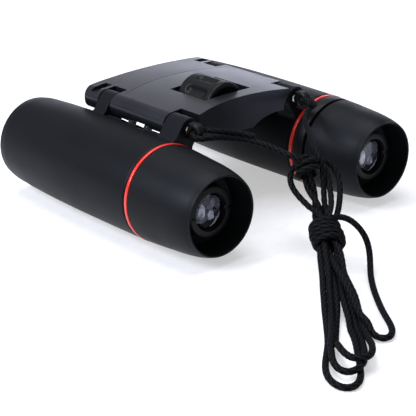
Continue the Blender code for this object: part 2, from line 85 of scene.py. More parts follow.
# Neck cord, in millimetres: from each strap eye to the hank, then the loop beside it
LEAD_ROUTES = {
    "left": (
        (-21.8, -26.2, 31.7), (-21.0, -28.0, 31.4), (-16.4, -29.6, 30.5), (-11.6, -32.6, 29.5),
        (-9.2, -38.0, 28.9), (-8.8, -44.0, 28.4), (-8.4, -48.6, 27.6), (-5.8, -51.2, 26.4),
    ),
    "right": (
        (21.8, -26.2, 31.7), (18.9, -28.2, 31.0), (12.8, -32.9, 29.9), (6.4, -41.4, 28.9),
        (1.0, -48.8, 28.1), (-0.6, -52.0, 26.8), (-0.8, -53.7, 25.0),
    ),
}
LOOP_ROUTE = (
    (-6.4, -65.4, 13.9), (-5.3, -67.1, 13.8), (-4.3, -68.6, 13.0), (-3.9, -70.6, 11.6), (-3.0, -72.2, 9.8),
    (-2.9, -73.8, 7.2), (-3.9, -75.5, 4.8), (-6.0, -77.6, 2.8), (-9.3, -80.8, 1.6), (-13.7, -85.8, 1.0),
    (-18.4, -91.7, 1.0), (-22.5, -97.3, 1.0), (-25.3, -101.7, 1.0), (-27.8, -105.4, 1.0),
    (-31.3, -108.1, 1.0),
    (-33.7, -108.1, 1.0), (-34.2, -106.0, 1.0), (-34.0, -103.8, 1.1), (-33.7, -101.6, 1.6),
)
# The tied hank from above, where it starts and its heading, then (distance along it, height)
HANK_TOP = Vector((-0.8, -54.0))
HANK_HEADING = math.radians(227.87)
HANK_RISE = (
    (-8.0, 27.7), (0.0, 20.5), (5.5, 15.6), (12.0, 12.3), (21.0, 9.4), (32.0, 6.4), (44.0, 3.4),
    (52.0, 2.9), (90.0, 2.9),
)
FLOOR_LAY = 0.87
# Tracks of the six passes below the binding: how far across each lies at these places along the hank
TRACK_PLACES = (25.0, 34.0, 44.0, 55.0, 64.0)
TRACKS = {
    0: (-2.3, -2.1, -2.1, -2.2, -2.4), 2: (-0.6, -0.4, -0.5, -0.9, -1.4), 4: (1.1, 1.2, 1.0, 0.2, -0.7),
    1: (2.3, 2.6, 3.2, 4.2, 4.6), 3: (2.9, 3.2, 4.3, 5.6, 6.2), 5: (2.9, 3.9, 5.7, 6.8, 7.7),
}
LIFTS = {0: 0.0, 2: 1.4, 4: 0.0, 1: 0.0, 3: -0.6, 5: 1.2}
# Where each pass lies inside the binding, as (across, above): a close rosette round the return pass
ROSETTE = {0: (-2.0, 0.0), 2: (-1.0, 1.73), 4: (-1.0, -1.73), 1: (2.0, 0.0), 3: (1.0, 1.73), 5: (1.0, -1.73)}
# Each low bend as (along, across) points, then its height
BIGHTS = (
    ((70.4, -3.3), (75.7, -3.9), (81.0, -3.3), (84.5, -1.4), (85.7, 0.8), (84.6, 2.9), (81.0, 4.2),
     (76.0, 4.7), (71.0, 4.6)),
    ((70.0, -2.0), (75.5, -1.9), (79.2, -0.6), (80.6, 1.5), (79.3, 3.6), (75.5, 5.4), (70.0, 6.1)),
    ((68.6, -0.5), (74.0, 1.0), (76.8, 2.9), (77.0, 5.0), (75.5, 7.0), (71.5, 8.0), (68.0, 7.9)),
)
BIGHT_HEIGHTS = (0.87, 2.1, 3.7)
# Each bend above the binding, from its right side over to its left
CROWNS = (
    ((9.3, 3.8), (5.3, 4.4), (2.0, 4.9), (-1.1, 4.3), (-3.6, 2.2), (-5.0, -1.8), (-4.5, -5.9), (-2.7, -8.9),
     (-0.2, -9.9), (2.1, -9.3), (4.7, -6.9), (7.8, -3.9)),
    ((7.6, 2.1), (4.1, 1.7), (1.2, 1.3), (-1.4, 0.6), (-3.1, -1.3), (-2.4, -4.0), (-0.5, -5.5), (1.6, -5.3),
     (4.0, -4.3), (7.5, -2.4)),
)
# The binding: its ends along the hank, its turns and the shape of each turn
WRAP_TOP = 14.4
WRAP_BOTTOM = 21.6
WRAP_TURNS = 5
WRAP_LEAN = 0.55
WRAP_STEPS = 16
WRAP_HALF_WIDTH = 4.15
WRAP_HALF_HEIGHT = 3.85
WRAP_BULGE = 0.55
WRAP_UNEVEN = 0.12
# How the cord's passes are pushed apart: points held at each end, rounds, first spacing, and a round's moves
HELD_POINTS = 16
EASE_ROUNDS = 60
EASE_SPACING = 0.9
MOST_MOVE = 0.35
MOVE_SHARE = 0.6
SMOOTH_SHARE = 0.25
# The braid: lobes round the cord, a carrier's pitch, swell as a share of the radius, and the mesh's steps
BRAID_LOBES = 4
BRAID_PITCH = 4.4
BRAID_SWELL = 0.11
RING_SIDES = 16
RING_SPACING = 0.36
# The knot: coiled turns round both leads
KNOT_MIDDLE = Vector((-3.9, -50.9, 23.9))
KNOT_TURNS = 2.75
KNOT_RADIUS = 3.0
KNOT_LENGTH = 6.2
KNOT_LEAN = 0.8
# The doubled ends of the cord through the strap eyes
HITCHES = {
    "left": (
        (-9.9, -34.9, 30.6), (-11.6, -31.9, 31.1), (-14.4, -29.6, 31.7), (-17.6, -28.0, 32.4),
        (-19.4, -26.2, 32.6), (-19.9, -24.2, 32.3), (-20.9, -22.9, 31.8), (-22.7, -22.9, 31.8),
        (-23.9, -24.2, 31.4), (-23.6, -26.3, 31.1), (-21.9, -27.6, 31.2), (-19.6, -28.6, 31.1),
    ),
    "right": (
        (19.0, -28.4, 32.4), (20.0, -26.4, 32.9), (20.0, -24.4, 32.5), (20.9, -22.9, 31.8),
        (22.7, -22.9, 31.8), (23.8, -24.3, 31.3), (23.4, -26.2, 31.0), (21.6, -27.4, 31.0),
        (19.9, -28.0, 31.0),
    ),
}

# Barrels, in millimetres: profiles as (y, radius), and ranges along Y
SHELL_PROFILE = (
    (45.8, 14.0), (44.0, 14.35), (40.0, 14.62), (32.0, 14.98), (22.0, 15.24), (12.0, 15.3), (0.0, 15.24),
    (-10.0, 15.12), (-19.9, 14.96),
)
NEAR_EAR = (-20.0, -12.1)
FAR_EAR = (14.8, 20.6)
ARM_EYES = ((-3.4, -1.4), (4.4, 6.2))
ARM_SPARE = 1.3
DIOPTRE_OUT = 1.0
RING_ROUND = 0.25
COLLAR_ROUND = 0.3
CUP_SKIRT = ((-21.9, 14.9), (-25.9, 14.68), (-29.5, 14.42), (-33.6, 14.08))
CUP_CROWN = ((-38.0, 13.72), (-41.0, 13.32), (-43.4, 12.86), (-45.0, 12.4), (-45.8, 12.05))
CUP_INSIDE = ((-45.75, 11.5), (-44.4, 11.4), (-40.0, 11.15), (-37.6, 11.0))
RIB_SECTION = (
    (14.6, -2.6), (14.6, 2.6), (15.55, 2.3), (15.72, 1.4), (15.74, 0), (15.72, -1.4), (15.55, -2.3),
)
RIB_SPANS = ((-12.1, -4.9), (0.1, 2.9), (7.7, 14.8))
# depth along Y of the glowing plates that paint the bright patches in the eye lens
PATCH_DEPTH = -36.0

# Bridge, in millimetres: ranges along Y of its notches, wheel slot and lid, and the screws' places
HINGE_SPOT = (HINGE_X, HINGE_Z)
NEAR_NOTCH = (-30.0, -11.8)
FAR_NOTCH = (14.5, 20.9)
SLOT_RANGE = (-12.3, 4.5)
LID_RANGE = (-15.5, 27.0)
SCREW_PLACES = ((-12.4, -9.6), (12.4, -9.6), (-11.0, 23.0), (11.0, 23.0))

# Strap eyes and focus wheel, in millimetres
LUG_EYE_Y = -22.9
WHEEL_RADIUS = 7.24
WHEEL_RANGE = (-11.1, 3.9)
FLUTE_HALF_LENGTH = 4.6
FLUTE_HALF_WIDTH = 1.5
FLUTE_MIDDLE = -4.0
FIRST_FLUTE = 7.5
FLUTED_FROM = 5.8
BOWL_REACH = 1.25
BOWL_POWER = 1.35
WHEEL_STEPS = 240
# The wheel's near end, as (distance in from its face, radius)
WHEEL_DISH = (
    (0.9, 1.3), (0.9, 2.2), (0.3, 2.4), (0.3, 3.4), (0.9, 3.6), (0.9, 4.6), (0.55, 5.1), (0.15, 5.3),
    (0.0, 5.6),
)


class BinocularSizes(bpy.types.PropertyGroup):
    """Sizes that a user would change."""

    cord_diameter: FloatProperty(
        name="Cord diameter", description="Outer diameter of the braided neck cord",
        default=1.7 * MM, min=1.0 * MM, max=3.0 * MM, unit="LENGTH", precision=5,
    )
    flute_depth: FloatProperty(
        name="Flute depth", description="Depth of the finger flutes on the focus wheel",
        default=0.95 * MM, min=0.2 * MM, max=1.5 * MM, unit="LENGTH", precision=5,
    )
    flutes: IntProperty(
        name="Flutes", description="Number of finger flutes round the focus wheel", default=8, min=4, max=16,
    )
    edge_radius: FloatProperty(
        name="Edge radius", description="Softening of the moulded edges of the bridge",
        default=0.28 * MM, min=0.05 * MM, max=0.6 * MM, unit="LENGTH", precision=5,
    )


class BinocularColours(bpy.types.PropertyGroup):
    """Finish colours as sRGB hex values."""

    shell: StringProperty(name="Shell", description="Soft-touch coating of the barrels", default="#0e1013")
    rubber: StringProperty(name="Rubber", description="Moulded eyecup rubber", default="#0e1012")
    bridge: StringProperty(name="Bridge", description="Satin bridge moulding", default="#15161a")
    ring: StringProperty(name="Ring", description="Lacquered ring on each barrel", default="#d4261b")
    plastic: StringProperty(name="Black plastic", description="Plain moulded parts", default="#090a0c")
    cord: StringProperty(name="Cord", description="Dyed polyester braid", default="#040405")


def linear(hex_colour):
    """An sRGB hex colour as linear RGBA."""
    raw = [int(hex_colour.lstrip("#")[i:i + 2], 16) / 255 for i in (0, 2, 4)]
    return (*(v / 12.92 if v <= 0.04045 else ((v + 0.055) / 1.055) ** 2.4 for v in raw), 1.0)


def sizes():
    """The sizes set in the panel."""
    return bpy.context.scene.binocular_sizes


def colours():
    """The colours set in the panel."""
    return bpy.context.scene.binocular_colours


# ---------------------------------------------------------------- materials


def add_node(tree, kind, settings=None, inputs=None):
    """Adds a node; inputs maps a socket's name or number to a value or to another node's output."""
    made = tree.nodes.new(kind)
    for name, value in (settings or {}).items():
        setattr(made, name, value)
    for name, value in (inputs or {}).items():
        socket = made.inputs[name]
        if isinstance(value, bpy.types.NodeSocket):
            tree.links.new(value, socket)
        else:
            socket.default_value = value
    return made


def new_material(name, **constants):
    """An empty material: its tree, its Principled shader with these constants, and object coordinates."""
    made = bpy.data.materials.get(name)
    if made:
        return made, None, None, None
    made = bpy.data.materials.new(name)
    made.use_nodes = True
    tree = made.node_tree
    shader = tree.nodes["Principled BSDF"]
    for socket, value in constants.items():
        shader.inputs[socket.replace("_", " ")].default_value = value
    place = tree.nodes.new("ShaderNodeTexCoord").outputs["Object"]
    return made, tree, shader, place


def ramp(tree, factor, *stops):
    """A colour ramp through (position, colour) stops; a number as colour means that grey."""
    made = add_node(tree, "ShaderNodeValToRGB", inputs={"Fac": factor})
    points = made.color_ramp.elements
    while len(points) < len(stops):
        points.new(0.5)
    for point, (position, colour) in zip(points, stops):
        point.position = position
        point.color = colour if not isinstance(colour, float) else (colour, colour, colour, 1.0)
    return made.outputs["Color"]


def noise(tree, place, size_mm, detail=4.0, roughness=0.5):
    """Noise whose features are about size_mm across."""
    return add_node(
        tree, "ShaderNodeTexNoise", inputs={
            "Vector": place, "Scale": 1.0 / (size_mm * MM), "Detail": detail, "Roughness": roughness,
        },
    ).outputs["Fac"]


def bump(tree, shader, height, distance_mm, strength=1.0):
    made = add_node(
        tree, "ShaderNodeBump",
        inputs={"Height": height, "Distance": distance_mm * MM, "Strength": strength},
    )
    tree.links.new(made.outputs["Normal"], shader.inputs["Normal"])


def mottled(tree, shader, place, size_mm, detail, dark, light, rough):
    """Base colour and roughness that drift together over patches about size_mm across."""
    cloud = noise(tree, place, size_mm, detail)
    tone = add_node(tree, "ShaderNodeMix", {"data_type": "RGBA"}, {0: cloud})
    tone.inputs[6].default_value = linear(dark)
    tone.inputs[7].default_value = linear(light)
    tree.links.new(tone.outputs[2], shader.inputs["Base Color"])
    roughen(tree, shader, cloud, (0.3, rough[0]), (0.7, rough[1]))


def roughen(tree, shader, factor, *stops):
    tree.links.new(ramp(tree, factor, *stops), shader.inputs["Roughness"])


def soft_touch_coating():
    """Moulded ABS sprayed with soft-touch polyurethane: deep black with a broad, slightly violet haze."""
    made, tree, shader, place = new_material(
        "soft_touch_polyurethane_on_abs", IOR=1.49, Specular_IOR_Level=0.10, Specular_Tint=linear("#dfe2f2"),
    )
    if tree:
        # handling polish: patches a little glossier than the matt spray
        mottled(tree, shader, place, 14.0, 3.0, "#090b0d", colours().shell, (0.44, 0.52))
        # spray stipple about 0.25 mm across
        bump(tree, shader, noise(tree, place, 0.25, 2.0), 0.010)
    return made


def eyecup_rubber():
    """Compression-moulded thermoplastic rubber: greyer and flatter than the shell, with a fine grain."""
    made, tree, shader, place = new_material(
        "moulded_thermoplastic_rubber", IOR=1.52, Specular_IOR_Level=0.11, Specular_Tint=linear("#dfe3ee"),
    )
    if tree:
        mottled(tree, shader, place, 9.0, 3.0, "#090b0c", colours().rubber, (0.44, 0.53))
        bump(tree, shader, noise(tree, place, 0.30, 3.0), 0.012)
    return made


def bridge_paint():
    """Moulded ABS with a satin graphite lacquer: a smooth grey-violet sheen with a trace of orange peel."""
    made, tree, shader, place = new_material(
        "satin_graphite_lacquer_on_abs", IOR=1.5, Specular_IOR_Level=0.5, Specular_Tint=linear("#dcdff5"),
    )
    if tree:
        mottled(tree, shader, place, 11.0, 3.0, "#0f1013", colours().bridge, (0.27, 0.33))
        bump(tree, shader, noise(tree, place, 0.6, 2.0), 0.002)
    return made


def moulded_plastic():
    """Plain injection-moulded ABS with a spark-eroded grain, for lids, housings, yoke, lugs and the wheel."""
    made, tree, shader, place = new_material("injection_moulded_abs", IOR=1.53, Specular_IOR_Level=0.14)
    if tree:
        grain = noise(tree, place, 0.35, 3.0)
        shader.inputs["Base Color"].default_value = linear(colours().plastic)
        roughen(tree, shader, grain, (0.3, 0.36), (0.7, 0.50))
        bump(tree, shader, grain, 0.010)
    return made


def ring_lacquer():
    """Red lacquered aluminium ring: a clean gloss coat over an even orange-red."""
    made, tree, shader, place = new_material(
        "red_lacquered_aluminium", Coat_Weight=0.35, Coat_Roughness=0.12, IOR=1.5,
    )
    if tree:
        mottled(tree, shader, place, 4.0, 2.0, "#c01f16", colours().ring, (0.26, 0.34))
    return made


def braided_polyester():
    """Dyed polyester braid, matt black, with painted light from the carrier layer: a painted highlight on
    each carrier's crest and painted shade in the troughs between carriers.
    """
    made, tree, shader, place = new_material(
        "braided_dyed_polyester", Sheen_Weight=0.01, Sheen_Roughness=0.4, Sheen_Tint=linear("#8d8d96"),
        Specular_IOR_Level=0.05, IOR=1.53,
    )
    if tree:
        crest_highlight_trough_shade = tree.nodes.new("ShaderNodeVertexColor")
        crest_highlight_trough_shade.layer_name = "carrier"
        # painted light from the carrier layer: darkest in the troughs as painted shade, lightest on the
        # crests as a painted highlight
        tone = ramp(
            tree, crest_highlight_trough_shade.outputs["Color"], (0.05, linear("#010101")), (0.72, linear(colours().cord)),
            (1.0, linear("#1f2024")),
        )
        tree.links.new(tone, shader.inputs["Base Color"])
        fibres = noise(tree, place, 0.12, 2.0)
        roughen(tree, shader, fibres, (0.3, 0.55), (0.7, 0.8))
        bump(tree, shader, fibres, 0.02)
    return made


def coated_glass(name, tint, body):
    """Polished optical glass with an anti-reflection coating whose tint shows in the reflection; the base
    colour also turns to that tint towards grazing angles, a painted reflection.
    """
    made, tree, shader, place = new_material(
        name, IOR=1.52, Roughness=0.03, Transmission_Weight=0.0, Coat_Weight=1.0, Coat_Roughness=0.02,
        Coat_Tint=linear(tint), Specular_IOR_Level=0.6,
    )
    if tree:
        # painted reflection: base colour runs from the body colour facing the view to the coating tint at
        # grazing angles
        edge = add_node(tree, "ShaderNodeLayerWeight", inputs={"Blend": 0.35}).outputs["Facing"]
        tone = ramp(tree, edge, (0.0, linear(body)), (1.0, linear(tint)))
        tree.links.new(tone, shader.inputs["Base Color"])
    return made


def clear_lens():
    """Clear crown glass of the eye lens, with the faint blue of a single coating."""
    made, tree, shader, place = new_material(
        "coated_crown_glass", IOR=1.5, Roughness=0.0, Transmission_Weight=1.0,
        Specular_Tint=linear("#c8cde6"),
    )
    if tree:
        smear = noise(tree, place, 4.0, 1.0)
        tone = ramp(tree, smear, (0.3, linear("#f4f6ff")), (0.8, linear("#ffffff")))
        tree.links.new(tone, shader.inputs["Base Color"])
    return made


def prism_glass():
    """The ground sides of the roof prism, blackened against stray light."""
    made, tree, shader, place = new_material("blackened_prism_glass", IOR=1.57, Specular_IOR_Level=0.5)
    if tree:
        cloud = noise(tree, place, 3.0, 2.0)
        tone = ramp(tree, cloud, (0.3, linear("#0b0c0e")), (0.7, linear("#15171b")))
        tree.links.new(tone, shader.inputs["Base Color"])
        roughen(tree, shader, cloud, (0.3, 0.16), (0.7, 0.22))
    return made


def emissive_patch_finish():
    """A polished, pale mottled face that glows though it is no lamp: its emission is painted light that
    stands in for the bright patches the eye lens shows.
    """
    made, tree, shader, place = new_material(
        "painted_light_emissive_patch", IOR=1.57, Roughness=0.1, Emission_Strength=0.14,
    )
    if tree:
        cloud = noise(tree, place, 2.2, 1.0)
        tone = ramp(tree, cloud, (0.35, linear("#5d616c")), (0.65, linear("#c2c5d0")))
        # painted glow: the mottled grey feeds both the base colour and the emission
        tree.links.new(tone, shader.inputs["Base Color"])
        tree.links.new(tone, shader.inputs["Emission Color"])
    return made


def turned_steel():
    """Drawn stainless pin stock: fine lines round the axis and a soft metallic sheen."""
    made, tree, shader, place = new_material("drawn_stainless_steel", Metallic=1.0)
    if tree:
        stretched = add_node(tree, "ShaderNodeMapping", {"vector_type": "TEXTURE"}, {"Vector": place})
        stretched.inputs["Scale"].default_value = (1.0, 12.0, 1.0)
        lines = noise(tree, stretched.outputs["Vector"], 0.2, 3.0)
        shader.inputs["Base Color"].default_value = linear("#b9babd")
        roughen(tree, shader, lines, (0.2, 0.22), (0.8, 0.38))
        bump(tree, shader, lines, 0.004)
    return made


def black_screw_steel():
    """Black-oxide steel screws, slightly worn on the driver slots."""
    made, tree, shader, place = new_material("black_oxide_steel", Metallic=1.0)
    if tree:
        wear = noise(tree, place, 0.5, 4.0)
        tone = ramp(tree, wear, (0.45, linear("#1a1b1e")), (0.75, linear("#55565a")))
        tree.links.new(tone, shader.inputs["Base Color"])
        roughen(tree, shader, wear, (0.3, 0.30), (0.7, 0.45))
    return made


def machined_brass():
    """Turned brass for the lead screw: warm, with tool lines along the thread."""
    made, tree, shader, place = new_material("turned_brass", Metallic=1.0)
    if tree:
        lines = noise(tree, place, 0.25, 2.0)
        shader.inputs["Base Color"].default_value = linear("#c9a254")
        roughen(tree, shader, lines, (0.2, 0.20), (0.8, 0.36))
    return made


def studio_paper(name, shade):
    """Matt white studio paper on a light table, which glows through it and softens the shadows."""
    made, tree, shader, place = new_material(name, Roughness=0.9, IOR=1.4, Emission_Strength=FLOOR_GLOW)
    if tree:
        fibre = noise(tree, place, 3.0, 4.0)
        tone = ramp(tree, fibre, (0.3, linear(shade)), (0.7, linear("#c4c5c8")))
        tree.links.new(tone, shader.inputs["Base Color"])
        shader.inputs["Emission Color"].default_value = linear("#ffffff")
    return made


# ---------------------------------------------------------------- meshes


def add_piece(name, bm, finish, body, origin=(0, 0, 0), sharp=35):
    """Makes a piece from this mesh, whose points are given in metres from origin."""
    bmesh.ops.remove_doubles(bm, verts=bm.verts[:], dist=1e-7)
    bmesh.ops.recalc_face_normals(bm, faces=bm.faces[:])
    mesh = bpy.data.meshes.new(name)
    bm.to_mesh(mesh)
    bm.free()
    mesh.shade_smooth()
    if sharp:
        mesh.set_sharp_from_angle(angle=math.radians(sharp))
    obj = bpy.data.objects.new(name, mesh)
    bpy.context.scene.collection.objects.link(obj)
    obj.location = origin
    if finish:
        mesh.materials.append(finish)
    if body:
        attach(obj, body)
    return obj


def rounded(points, radii, steps=5):
    """A closed outline with round corners; radii gives each corner's radius in the same units, 0 for none."""
    result = []
    count = len(points)
    for index, (point, radius) in enumerate(zip(points, radii)):
        corner = Vector(point)
        if radius <= 0:
            result.append(corner)
            continue
        before = Vector(points[index - 1]) - corner
        after = Vector(points[(index + 1) % count]) - corner
        half = before.angle(after) / 2
        reach = min(radius / math.tan(half), 0.49 * before.length, 0.49 * after.length)
        true_radius = reach * math.tan(half)
        inwards = (before.normalized() + after.normalized()).normalized()
        middle = corner + inwards * (true_radius / math.sin(half))
        start = corner + before.normalized() * reach - middle
        end = corner + after.normalized() * reach - middle
        for step in range(steps + 1):
            turn = start.angle(end) * step / steps
            sign = 1 if start.x * end.y - start.y * end.x > 0 else -1
            result.append(middle + Matrix.Rotation(sign * turn, 2) @ start)
    return result


def turned_mesh(outline, steps=TURN_STEPS):
    """A mesh turned about Y from a closed outline of (y, radius) in millimetres."""
    bm = bmesh.new()
    points = [bm.verts.new((0, y * MM, radius * MM)) for y, radius in outline]
    edges = [bm.edges.new((a, b)) for a, b in zip(points, points[1:] + points[:1])]
    bmesh.ops.spin(
        bm, geom=points + edges, cent=(0, 0, 0), axis=(0, 1, 0), dvec=(0, 0, 0),
        angle=math.tau, steps=steps, use_merge=True, use_duplicate=False,
    )
    return bm


def join_rings(bm, pairs):
    """Quads between each pair of rings of vertices."""
    for a, b in pairs:
        for step in range(len(a)):
            following = (step + 1) % len(a)
            bm.faces.new((a[step], a[following], b[following], b[step]))


def prism_mesh(outline, along, low, high):
    """A solid with this outline in millimetres, extruded from low to high along X, Y or Z."""
    place = {
        "X": lambda a, b: (low, a, b),
        "Y": lambda a, b: (a, low, b),
        "Z": lambda a, b: (a, b, low),
    }[along]
    bm = bmesh.new()
    face = bm.faces.new([bm.verts.new(Vector(place(a, b)) * MM) for a, b in outline])
    grown = bmesh.ops.extrude_face_region(bm, geom=[face])["geom"]
    moved = [item for item in grown if isinstance(item, bmesh.types.BMVert)]
    shift = Vector([(high - low) * MM * (axis == along) for axis in "XYZ"])
    bmesh.ops.translate(bm, verts=moved, vec=shift)
    bmesh.ops.recalc_face_normals(bm, faces=bm.faces[:])
    return bm


def arc(centre, radius, start, end, steps):
    """Points of an arc, with its angles in degrees."""
    angles = [math.radians(start + (end - start) * i / steps) for i in range(steps + 1)]
    return [(centre[0] + radius * math.cos(a), centre[1] + radius * math.sin(a)) for a in angles]


def circle(centre, radius, steps=48):
    return arc(centre, radius, 0, 360, steps)[:-1]


def box_outline(a0, b0, a1, b1):
    return [(a0, b0), (a1, b0), (a1, b1), (a0, b1)]


def cut(target, *meshes, operation="DIFFERENCE"):
    """Applies exact Booleans of these meshes to a piece, and removes the cutters."""
    for mesh in meshes:
        cutter = add_piece("cutter", mesh, None, None, sharp=0)
        modifier = target.modifiers.new("cut", "BOOLEAN")
        modifier.operation = operation
        modifier.solver = "EXACT"
        modifier.object = cutter
        settle(target)
        bpy.data.objects.remove(cutter)


def settle(target):
    """Applies every modifier of a piece."""
    bpy.context.view_layer.update()
    graph = bpy.context.evaluated_depsgraph_get()
    mesh = bpy.data.meshes.new_from_object(target.evaluated_get(graph))
    target.modifiers.clear()
    old = target.data
    target.data = mesh
    bpy.data.meshes.remove(old)


def soften(target, width, segments=3, angle=28):
    """Rounds the edges of a moulding, then shades it with weighted normals."""
    bevel = target.modifiers.new("edges", "BEVEL")
    bevel.width = width
    bevel.segments = segments
    bevel.limit_method = "ANGLE"
    bevel.angle_limit = math.radians(angle)
    bevel.use_clamp_overlap = True
    bevel.miter_outer = "MITER_ARC"
    settle(target)
    even_shading(target)


def even_shading(target):
    """Smooth shading that large flat faces keep flat."""
    target.data.shade_smooth()
    target.data.set_sharp_from_angle(angle=math.radians(50))
    weighted = target.modifiers.new("normals", "WEIGHTED_NORMAL")
    weighted.keep_sharp = True
    weighted.weight = 90
    settle(target)


def clean_flats(target):
    """Joins the fragments of flat faces that the cuts leave."""
    bm = bmesh.new()
    bm.from_mesh(target.data)
    bmesh.ops.remove_doubles(bm, verts=bm.verts[:], dist=0.002 * MM)
    bmesh.ops.dissolve_limit(
        bm, angle_limit=math.radians(0.1), verts=bm.verts[:], edges=bm.edges[:],
        use_dissolve_boundaries=False,
    )
    bm.to_mesh(target.data)
    bm.free()


def tilted(side, points):
    """Points (along, across) of a barrel's own section, along from its axis to the hinge, as (x, z)."""
    cos, sin = (BARREL_X - HINGE_X) / HINGE_SPAN, (HINGE_Z - BARREL_Z) / HINGE_SPAN
    return [(side * (BARREL_X - a * cos + b * sin), BARREL_Z + a * sin + b * cos) for a, b in points]


def smooth_curve(points, spacing):
    """Evenly spaced points of a smooth curve through the given ones (centripetal form)."""
    knots = [Vector(point) for point in points]
    knots = [2 * knots[0] - knots[1]] + knots + [2 * knots[-1] - knots[-2]]
    dense = []
    for p0, p1, p2, p3 in zip(knots, knots[1:], knots[2:], knots[3:]):
        t1 = max((p1 - p0).length, 1e-6) ** 0.5
        t2 = t1 + max((p2 - p1).length, 1e-6) ** 0.5
        t3 = t2 + max((p3 - p2).length, 1e-6) ** 0.5
        for step in range(CURVE_STEPS):
            t = t1 + (t2 - t1) * step / CURVE_STEPS
            a1 = p0.lerp(p1, t / t1)
            a2 = p1.lerp(p2, (t - t1) / (t2 - t1))
            a3 = p2.lerp(p3, (t - t2) / (t3 - t2))
            b1 = a1.lerp(a2, t / t2)
            b2 = a2.lerp(a3, (t - t1) / (t3 - t1))
            dense.append(b1.lerp(b2, (t - t1) / (t2 - t1)))
    dense.append(knots[-2])
    return evenly(dense, spacing)


def evenly(dense, spacing):
    """Points at equal steps of about this spacing along a dense polyline."""
    total = sum((b - a).length for a, b in zip(dense, dense[1:]))
    count = max(2, round(total / spacing))
    route, travelled, target = [dense[0]], 0.0, total / count
    for a, b in zip(dense, dense[1:]):
        step = (b - a).length
        while step > 0 and travelled + step >= target and len(route) < count:
            route.append(a.lerp(b, (target - travelled) / step))
            target += total / count
        travelled += step
    return route + [dense[-1]]


# ---------------------------------------------------------------- camera and stage


def make_camera():
    """The three-quarter view from the left eyepiece's side."""
    ahead = Vector((
        math.sin(CAMERA_YAW) * math.cos(CAMERA_PITCH), math.cos(CAMERA_YAW) * math.cos(CAMERA_PITCH),
        -math.sin(CAMERA_PITCH),
    ))
    level = Vector((math.cos(CAMERA_YAW), -math.sin(CAMERA_YAW), 0))
    upright = level.cross(ahead)
    right = math.cos(CAMERA_ROLL) * level + math.sin(CAMERA_ROLL) * upright
    up = -math.sin(CAMERA_ROLL) * level + math.cos(CAMERA_ROLL) * upright
    data = bpy.data.cameras.new("view")
    data.lens = CAMERA_LENS
    data.sensor_width = 36.0
    data.clip_start = 0.01
    camera = bpy.data.objects.new("view", data)
    bpy.context.scene.collection.objects.link(camera)
    camera.matrix_world = Matrix.Translation(CAMERA_PLACE) @ Matrix((right, up, -ahead)).transposed().to_4x4()
    bpy.context.scene.camera = camera


def add_area(name, place, towards, size, energy, shade="#ffffff"):
    """A soft box at place, in metres, that faces towards a point."""
    data = bpy.data.lights.new(name, "AREA")
    data.shape = "RECTANGLE"
    data.size, data.size_y = size
    data.energy = energy
    data.color = linear(shade)[:3]
    lamp = bpy.data.objects.new(name, data)
    bpy.context.scene.collection.objects.link(lamp)
    lamp.location = place
    lamp.rotation_euler = (Vector(towards) - Vector(place)).to_track_quat("-Z", "Y").to_euler()
    return lamp


def make_stage():
    """A glowing white floor, a soft box above, a window at the left, a card behind and a weak fill."""
    bm = bmesh.new()
    half = FLOOR_HALF
    corners = [bm.verts.new((x, y, 0)) for x, y in box_outline(-half, -half, half, half)]
    bm.faces.new(corners)
    floor = add_piece("studio_floor", bm, studio_paper("white_studio_sweep", "#b9babd"), None, sharp=0)
    lamps = (
        add_area("overhead_softbox", (0.05, 0.15, 1.00), (0, 0, 0.02), (0.8, 0.8), 11.0, "#f4f6ff"),
        add_area("left_window", (-0.75, 0.25, 0.60), (0, 0, 0.02), (0.35, 0.45), 11.0, "#eef1ff"),
        add_area("back_card", (0.98, 1.10, 0.27), (0, 0, 0.04), (1.1, 0.24), 2.6, "#e8ebff"),
        add_area("front_fill", (-0.35, -0.95, 0.45), (0, 0, 0.02), (0.5, 0.3), 0.7, "#f0f3ff"),
    )
    world = bpy.data.worlds.new("studio_surround")
    bpy.context.scene.world = world
    world.use_nodes = True
    background = world.node_tree.nodes["Background"]
    background.inputs["Color"].default_value = (1.0, 1.0, 1.0, 1.0)
    background.inputs["Strength"].default_value = 0.35
    bpy.context.scene.view_settings.view_transform = "Standard"
    make_camera()


# ---------------------------------------------------------------- neck cord


def hank_height(s):
    """The height of the hank's middle, s millimetres along it."""
    for (s0, z0), (s1, z1) in zip(HANK_RISE, HANK_RISE[1:]):
        if s <= s1:
            return z0 + (z1 - z0) * (s - s0) / (s1 - s0)
    return HANK_RISE[-1][1]


def hank_point(s, t, h, height=None):
    """The place s along the hank, t across it towards the right and h above its middle, in millimetres."""
    heading = Vector((math.cos(HANK_HEADING), math.sin(HANK_HEADING)))
    across = Vector((-heading.y, heading.x))
    flat = HANK_TOP + heading * s + across * t
    return Vector((flat.x, flat.y, (hank_height(s) if height is None else height) + h))


def pass_down(number):
    """One pass of the cord from the binding down to where its low bend begins."""
    t0, h0 = ROSETTE[number]
    points = [hank_point(s, t0, h0) for s in (13.0, 17.0, 21.0)]
    for index, (s, t) in enumerate(zip(TRACK_PLACES, TRACKS[number])):
        share = index / (len(TRACK_PLACES) - 1)
        settled = LIFTS[number]
        height = hank_height(s) + h0 * (0.7, 0.35, 0.0, 0.0, 0.0)[index] * (1.0 - 0.5 * share)
        if s > 50:
            height = FLOOR_LAY + settled * (0.6 + 0.4 * share)
        points.append(hank_point(s, t, 0, height))
    return points


def wraps():
    """The turns that bind the hank, leaning a little, from the low end of the binding to its top."""
    points = []
    total = WRAP_TURNS * WRAP_STEPS + 3
    for step in range(total + 1):
        share = step / total
        angle = math.radians(-100) - math.tau * step / WRAP_STEPS
        wide = WRAP_HALF_WIDTH + WRAP_BULGE * math.sin(math.pi * share)
        wide += WRAP_UNEVEN * math.sin(5.0 * share + 1.0)
        above = WRAP_HALF_HEIGHT * math.sin(angle)
        s = WRAP_BOTTOM + (WRAP_TOP - WRAP_BOTTOM) * share + WRAP_LEAN * above
        middle = 0.6 - 1.3 * share
        height = hank_height(s - WRAP_LEAN * above)
        points.append(hank_point(s, middle + wide * math.cos(angle), above, height))
    return points


